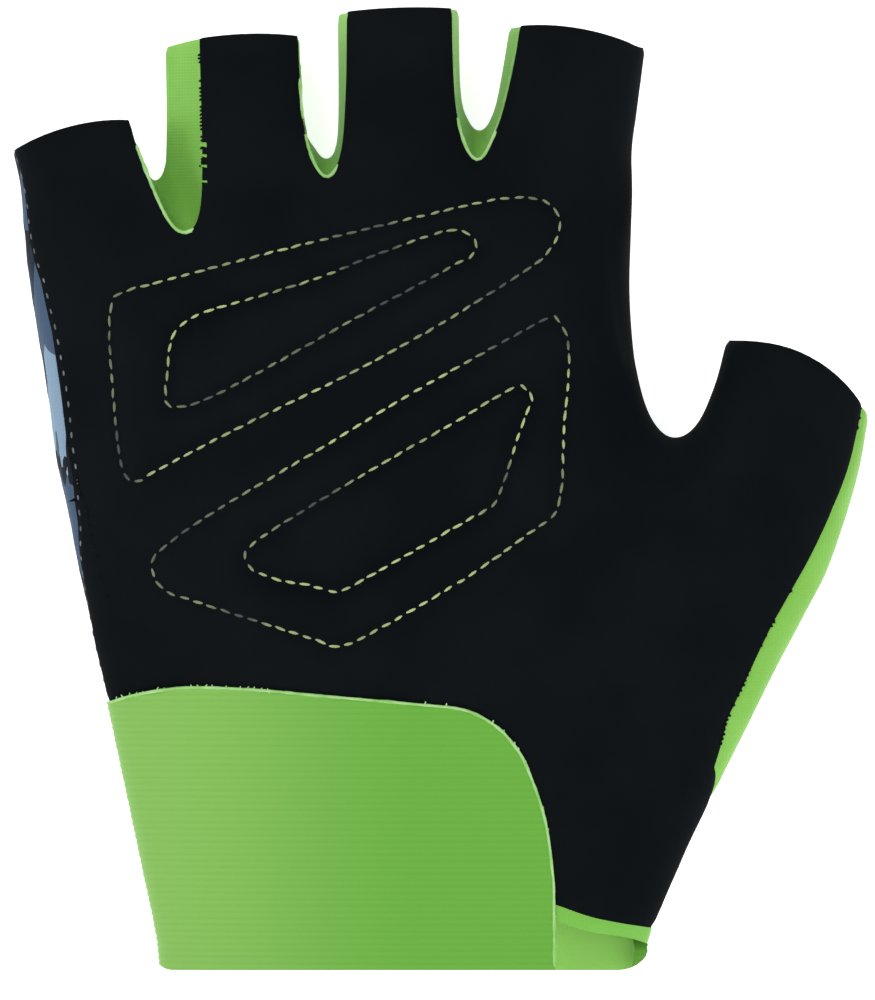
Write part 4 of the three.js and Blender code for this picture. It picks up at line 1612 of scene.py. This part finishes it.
# The cuff's inner faces: paler inner cloth, brightened much further as painted light against the shade
# inside the cuff.
ELASTIC_INSIDE_PAINTED_LIGHT = Finish(
    "elastic_inside_painted_light",
    (0.27, 0.58, 0.115),
    (0.29, 0.61, 0.125),
    weave=0.4,
    weave_depth=0.01,
    **GREEN,
)
TAPE = Finish(
    "tape_cloth",
    (0.132, 0.35, 0.05),
    (0.145, 0.375, 0.058),
    weave=0.35,
    weave_depth=0.015,
    **GREEN,
)
PAD_THREAD = Finish(
    "pad_thread", (0.35, 0.42, 0.19), (0.05, 0.06, 0.055), patch=0.05, roughness=0.7
)
GREY_THREAD = Finish(
    "grey_thread", (0.14, 0.15, 0.16), (0.06, 0.07, 0.08), patch=0.2, roughness=0.6
)
PALE_THREAD = Finish(
    "pale_thread", (0.3, 0.5, 0.2), (0.2, 0.42, 0.11), patch=0.3, roughness=0.7, sheen=0.3
)


class Lamp(NamedTuple):
    """A round lamp that looks at the glove, in metres and watts."""

    name: str
    place: tuple[float, float, float]
    size: float
    power: float


LAMPS = (
    Lamp("key", (-0.35, 0.45, 0.75), 0.5, 3.9),
    Lamp("fill", (0.5, -0.25, 0.7), 0.6, 2.6),
    Lamp("left", (-0.85, 0.1, 0.3), 0.4, 2.0),
    Lamp("low", (0.12, -0.65, 0.45), 0.4, 2.6),
)


@dataclass
class Studio:
    """The white ground, the lights and the camera above the glove, in metres."""

    centre: Point = (-0.0004, -0.0018)
    field: float = 0.1614  # the width of the picture's longer side at the glove's level
    level: float = 0.009
    lens: float = 700.0
    sensor: float = 36.0
    sky: float = 0.62
    ground_size: float = 1.6
    ground_level: float = -0.0004
    ground_glow: float = 0.75

    def build(self) -> None:
        """Makes the studio."""
        self.ground()
        for lamp in LAMPS:
            self.light(lamp)
        world = bpy.data.worlds.new("studio")
        world.use_nodes = True
        sky = {"Color": (1.0, 1.0, 1.0, 1.0), "Strength": self.sky}
        feed(world.node_tree, world.node_tree.nodes["Background"], sky)
        scene = bpy.context.scene
        scene.world = world
        scene.view_settings.view_transform = "Standard"
        self.camera()

    def ground(self) -> None:
        """A white floor that shows almost no shadow."""
        bm = bmesh.new()
        bmesh.ops.create_grid(bm, x_segments=1, y_segments=1, size=self.ground_size)
        floor = shape_of(bm, "ground")
        floor.location.z = self.ground_level
        material = bpy.data.materials.new("ground")
        material.use_nodes = True
        inputs = {
            "Base Color": (0.8, 0.8, 0.8, 1.0),
            "Roughness": 1.0,
            "Specular IOR Level": 0.0,
            "Emission Color": (1.0, 1.0, 1.0, 1.0),
            "Emission Strength": self.ground_glow,
        }
        feed(material.node_tree, material.node_tree.nodes["Principled BSDF"], inputs)
        floor.data.materials.append(material)

    def light(self, lamp: Lamp) -> None:
        """Sets up one lamp."""
        data = bpy.data.lights.new(lamp.name, "AREA")
        data.shape = "DISK"
        data.size = lamp.size
        data.energy = lamp.power
        thing = bpy.data.objects.new(lamp.name, data)
        thing.location = lamp.place
        thing.rotation_euler = (-Vector(lamp.place)).to_track_quat("-Z", "Y").to_euler()
        bpy.context.scene.collection.objects.link(thing)

    def camera(self) -> None:
        """The camera straight above the glove."""
        data = bpy.data.cameras.new("camera")
        data.lens = self.lens
        data.sensor_width = self.sensor
        away = self.field * self.lens / data.sensor_width
        camera = bpy.data.objects.new("camera", data)
        camera.location = (*self.centre, self.level + away)
        bpy.context.scene.collection.objects.link(camera)
        bpy.context.scene.camera = camera


PALM_BORDER = Border(depth=0.25, width=0.9)
HEM_BORDER = Border(depth=0.1, width=0.6)
STRIP_BORDER = Border(depth=0.1, width=0.9, tuck=0.5)
STRIP_INSET = 0.35
# The overlock's threads along the cuff: from and to, in shares of the width, and how many show.
CUFF_TEETH = ((-0.53, -0.27, 0.85), (-0.27, 0.12, 0.12), (0.12, 0.2, 0.4))
# Where the sewn edges start and stop, in shares of the glove's length.
CUFF_EDGE_START = 0.003
GREEN_STOP = 0.955
LITTLE_SEAM_SPAN = (0.3, 0.86)
THUMB_SEAM_SPAN = (0.22, 0.585)
GREEN_LEAST = 0.5  # the pale thread lies where the green beside it is wider than this


@dataclass
class Glove:
    """The whole glove."""

    sizes: GloveSizes = SIZES
    maker: GloveForm = field(default_factory=GloveForm)
    regions: Regions = field(default_factory=Regions)
    pads: PadRelief = field(default_factory=PadRelief)
    panels: list[Panel] = field(default_factory=list)

    def cut_panels(self) -> Thing:
        """Cuts the form into its skins.

        Returns:
            The form, whole.
        """
        form = self.maker.build()
        region = self.regions
        size = self.sizes
        palm = work(copy_of(form, "palm"), region.upper(), Cut.WITHIN)
        work(palm, region.cuff_front(), Cut.AWAY)
        hem = work(copy_of(palm, "hem"), region.under_hem(HEM_UPPER), Cut.WITHIN)
        work(hem, region.under_hem(HEM_LOWER), Cut.AWAY)
        work(palm, region.under_hem(HEM_UPPER), Cut.AWAY)
        back = work(copy_of(form, "back"), region.upper(), Cut.AWAY)
        work(back, region.cuff_back(), Cut.AWAY)
        thumb = work(copy_of(back, "thumb"), region.thumb_space(), Cut.WITHIN)
        work(back, region.thumb_space(), Cut.AWAY)
        work(back, region.cuff_front(), Cut.AWAY)
        thick, thin = size.suede_wall, size.stretch_wall
        planned = (
            (PalmPanel("palm", "palm_panel", "suede", thick, PALM_BORDER, pads=self.pads), palm),
            (Panel("back", "back_panel", "print", thin), back),
            (Panel("thumb_back_piece", "thumb_back", "stretch", thin), thumb),
            (Panel("hem", "palm_hem", "tape", thick, HEM_BORDER, HEM_BORDER), hem),
        )
        self.panels = [panel.cut(solid, Face.SKIN) for panel, solid in planned]
        for (_, kind), node in zip(GAPS, GAP_NODES):
            name = f"{node}_strip"
            strip = Panel(name, node, "stretch", thin, STRIP_BORDER, inset=STRIP_INSET)
            self.panels.append(strip.cut(copy_of(form, node), kind))
        return form

    def line_above(self, surface: Surface, line: np.ndarray, shift: float = 0.0) -> list[Spot]:
        """Lays a flat line on the glove as seen from above.

        Args:
            surface: The skin that it lies on.
            line: The line's points.
            shift: How far it is moved to its right.

        Returns:
            Places and normals.
        """
        moved = line + sideways(line) * shift
        hits = [surface.above(x, y) for x, y in moved]
        return [hit for hit in hits if hit]

    def side_line(
        self,
        surface: Surface,
        rows: Sequence[SeamPoint],
        side: float,
        pitch: float,
        span: Point,
        shift: float,
    ) -> list[Spot]:
        """Lays a seam drawn as seen from the side on the glove.

        Args:
            surface: The skin that it lies on.
            rows: The seam.
            side: Minus one for the little finger's side and one for the thumb's.
            pitch: The spacing of its points.
            span: The shares of the glove's length where it starts and stops.
            shift: How far above the seam it lies.

        Returns:
            Places and normals.
        """
        size = self.sizes
        line = [(size.along(row.at), row.level * size.palm_height + shift) for row in rows]
        low, high = [size.along(share) for share in span]
        evenly = spaced(np.array(line), pitch)
        hits = [surface.beside(y, z, side) for y, z in evenly if low <= y <= high]
        return [hit for hit in hits if hit]

    def stitch(self, surface: Surface) -> None:
        """Sews the pads, the side seam and the overlocked edges."""
        pads = Stitching(length=1.7, width=0.54, height=0.38, pitch=2.3)
        for line in self.pads.lines:
            pads.along(self.line_above(surface, spaced(line, pads.pitch)[:-1]), sink=0.02)
        finished(pads.build("pad_stitches"), "pad_stitches", [PAD_THREAD])
        side = Stitching(length=0.95, width=0.4, height=0.32, pitch=2.5)
        seam = self.side_line(surface, LITTLE_SIDE_SEAM, -1, side.pitch, LITTLE_SEAM_SPAN, 0.8)
        side.along(seam)
        finished(side.build("side_stitches"), "side_stitches", [GREY_THREAD])
        self.stitch_cuff(surface)
        self.stitch_greens(surface)

    def stitch_cuff(self, surface: Surface) -> None:
        """Overlocks the cuff band's edge: a thin cord, with threads that show in places."""
        size = self.sizes
        seam = size.line(CUFF_SEAM, 8)
        seam = seam[seam[:, 1] > size.along(CUFF_EDGE_START)]
        chance = random.Random(3)
        teeth = Stitching(length=0.8, width=0.28, height=0.26, pitch=1.15)
        for start, stop, share in CUFF_TEETH:
            part = seam[(seam[:, 0] > size.across(start)) & (seam[:, 0] < size.across(stop))]
            part = np.array([row for row in spaced(part, teeth.pitch) if chance.random() < share])
            threads = []
            for here, normal in self.line_above(surface, part, 0.1):
                threads.append((here, Vector((chance.uniform(-0.5, 0.5), 1, 0)), normal))
            teeth.sew(threads, jitter=0.2)
        finished(teeth.build("cuff_overlock"), "cuff_overlock", [PALE_THREAD])
        edge = self.line_above(surface, spaced(seam, 0.7), 0.22)
        finished(cord(edge, 0.24, "cuff_edge"), "cuff_edge", [PALE_THREAD])

    def stitch_greens(self, surface: Surface) -> None:
        """Ends the palm's edge in uneven dark threads, and lays the gaps' pale threads."""
        chance = random.Random(8)
        thumb = Stitching(length=0.9, width=0.5, height=0.42, pitch=0.8)
        seam = self.side_line(surface, THUMB_SIDE_SEAM, 1, thumb.pitch, THUMB_SEAM_SPAN, -0.1)
        thumb.across([spot for spot in seam if chance.random() < 0.55], lean=0.3)
        finished(thumb.build("thumb_overlock"), "thumb_overlock", [SUEDE])
        gaps = Stitching(length=0.75, width=0.42, height=0.36, pitch=0.6)
        shares = zip(GAPS, PALE_SHARES, DARK_SHARES)
        for number, ((rows, _), pale, dark) in enumerate(shares, 1):
            line = self.green_line(rows, gaps.pitch)
            edge = self.line_above(surface, line, -0.1)
            dark_part = edge[len(edge) - round(len(edge) * dark) :]
            gaps.across([spot for spot in dark_part if chance.random() < 0.45], lean=0.2)
            edge = self.line_above(surface, line[: round(len(line) * pale)], 0.15)
            name = f"gap_edge_{number}"
            finished(cord(edge, 0.28, name), name, [PALE_THREAD])
        finished(gaps.build("gap_overlock"), "gap_overlock", [SUEDE])

    def green_line(self, rows: Sequence[GapPoint], pitch: float) -> np.ndarray:
        """The part of a gap's edge on the palm beside which the green strip shows."""
        low, high = self.sizes.gap_edges(rows)
        high = spaced(high, pitch)
        high = high[high[:, 1] < self.sizes.along(GREEN_STOP)]
        shows = distances(flattened(high), tree_of(flattened(low))) > GREEN_LEAST
        return high[np.argmax(shows) : len(high) - np.argmax(shows[::-1])]

    def build(self) -> None:
        """Builds the glove and dresses it."""
        form = self.cut_panels()
        LOG.info("panels cut")
        wrinkles = Wrinkles(creases=CREASES)
        region = work(self.regions.cuff_back(), self.regions.upper(), Cut.AWAY)
        work(region, self.regions.cuff_front(), Cut.WITH)
        work(region, self.maker.cuff_end_cutter(), Cut.AWAY)
        band = CuffBand(self.maker).build(self.maker.whole, region)
        LOG.info("cuff band made")
        for panel in self.panels:
            panel.shape(wrinkles)
        LOG.info("panels shaped")
        outside = Surface.of(band, *[panel.skin for panel in self.panels])
        self.stitch(outside)
        finishes = {"suede": SUEDE, "print": PRINT, "stretch": STRETCH, "tape": TAPE}
        for panel in self.panels:
            piece = panel.thicken().finish(finishes[panel.slot])
            isinstance(panel, PalmPanel)
        # the second material brightens the cuff's inner faces: painted light against the shade inside
        # the cuff
        finished(band, "cuff", [ELASTIC, ELASTIC_INSIDE_PAINTED_LIGHT], ["cuff_band"])
        drop(form)


def main() -> None:
    """Builds the glove and its studio."""
    logging.basicConfig(level=logging.INFO, format="%(message)s")
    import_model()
    Glove().build()
    Studio().build()


if __name__ == "__main__":
    main()
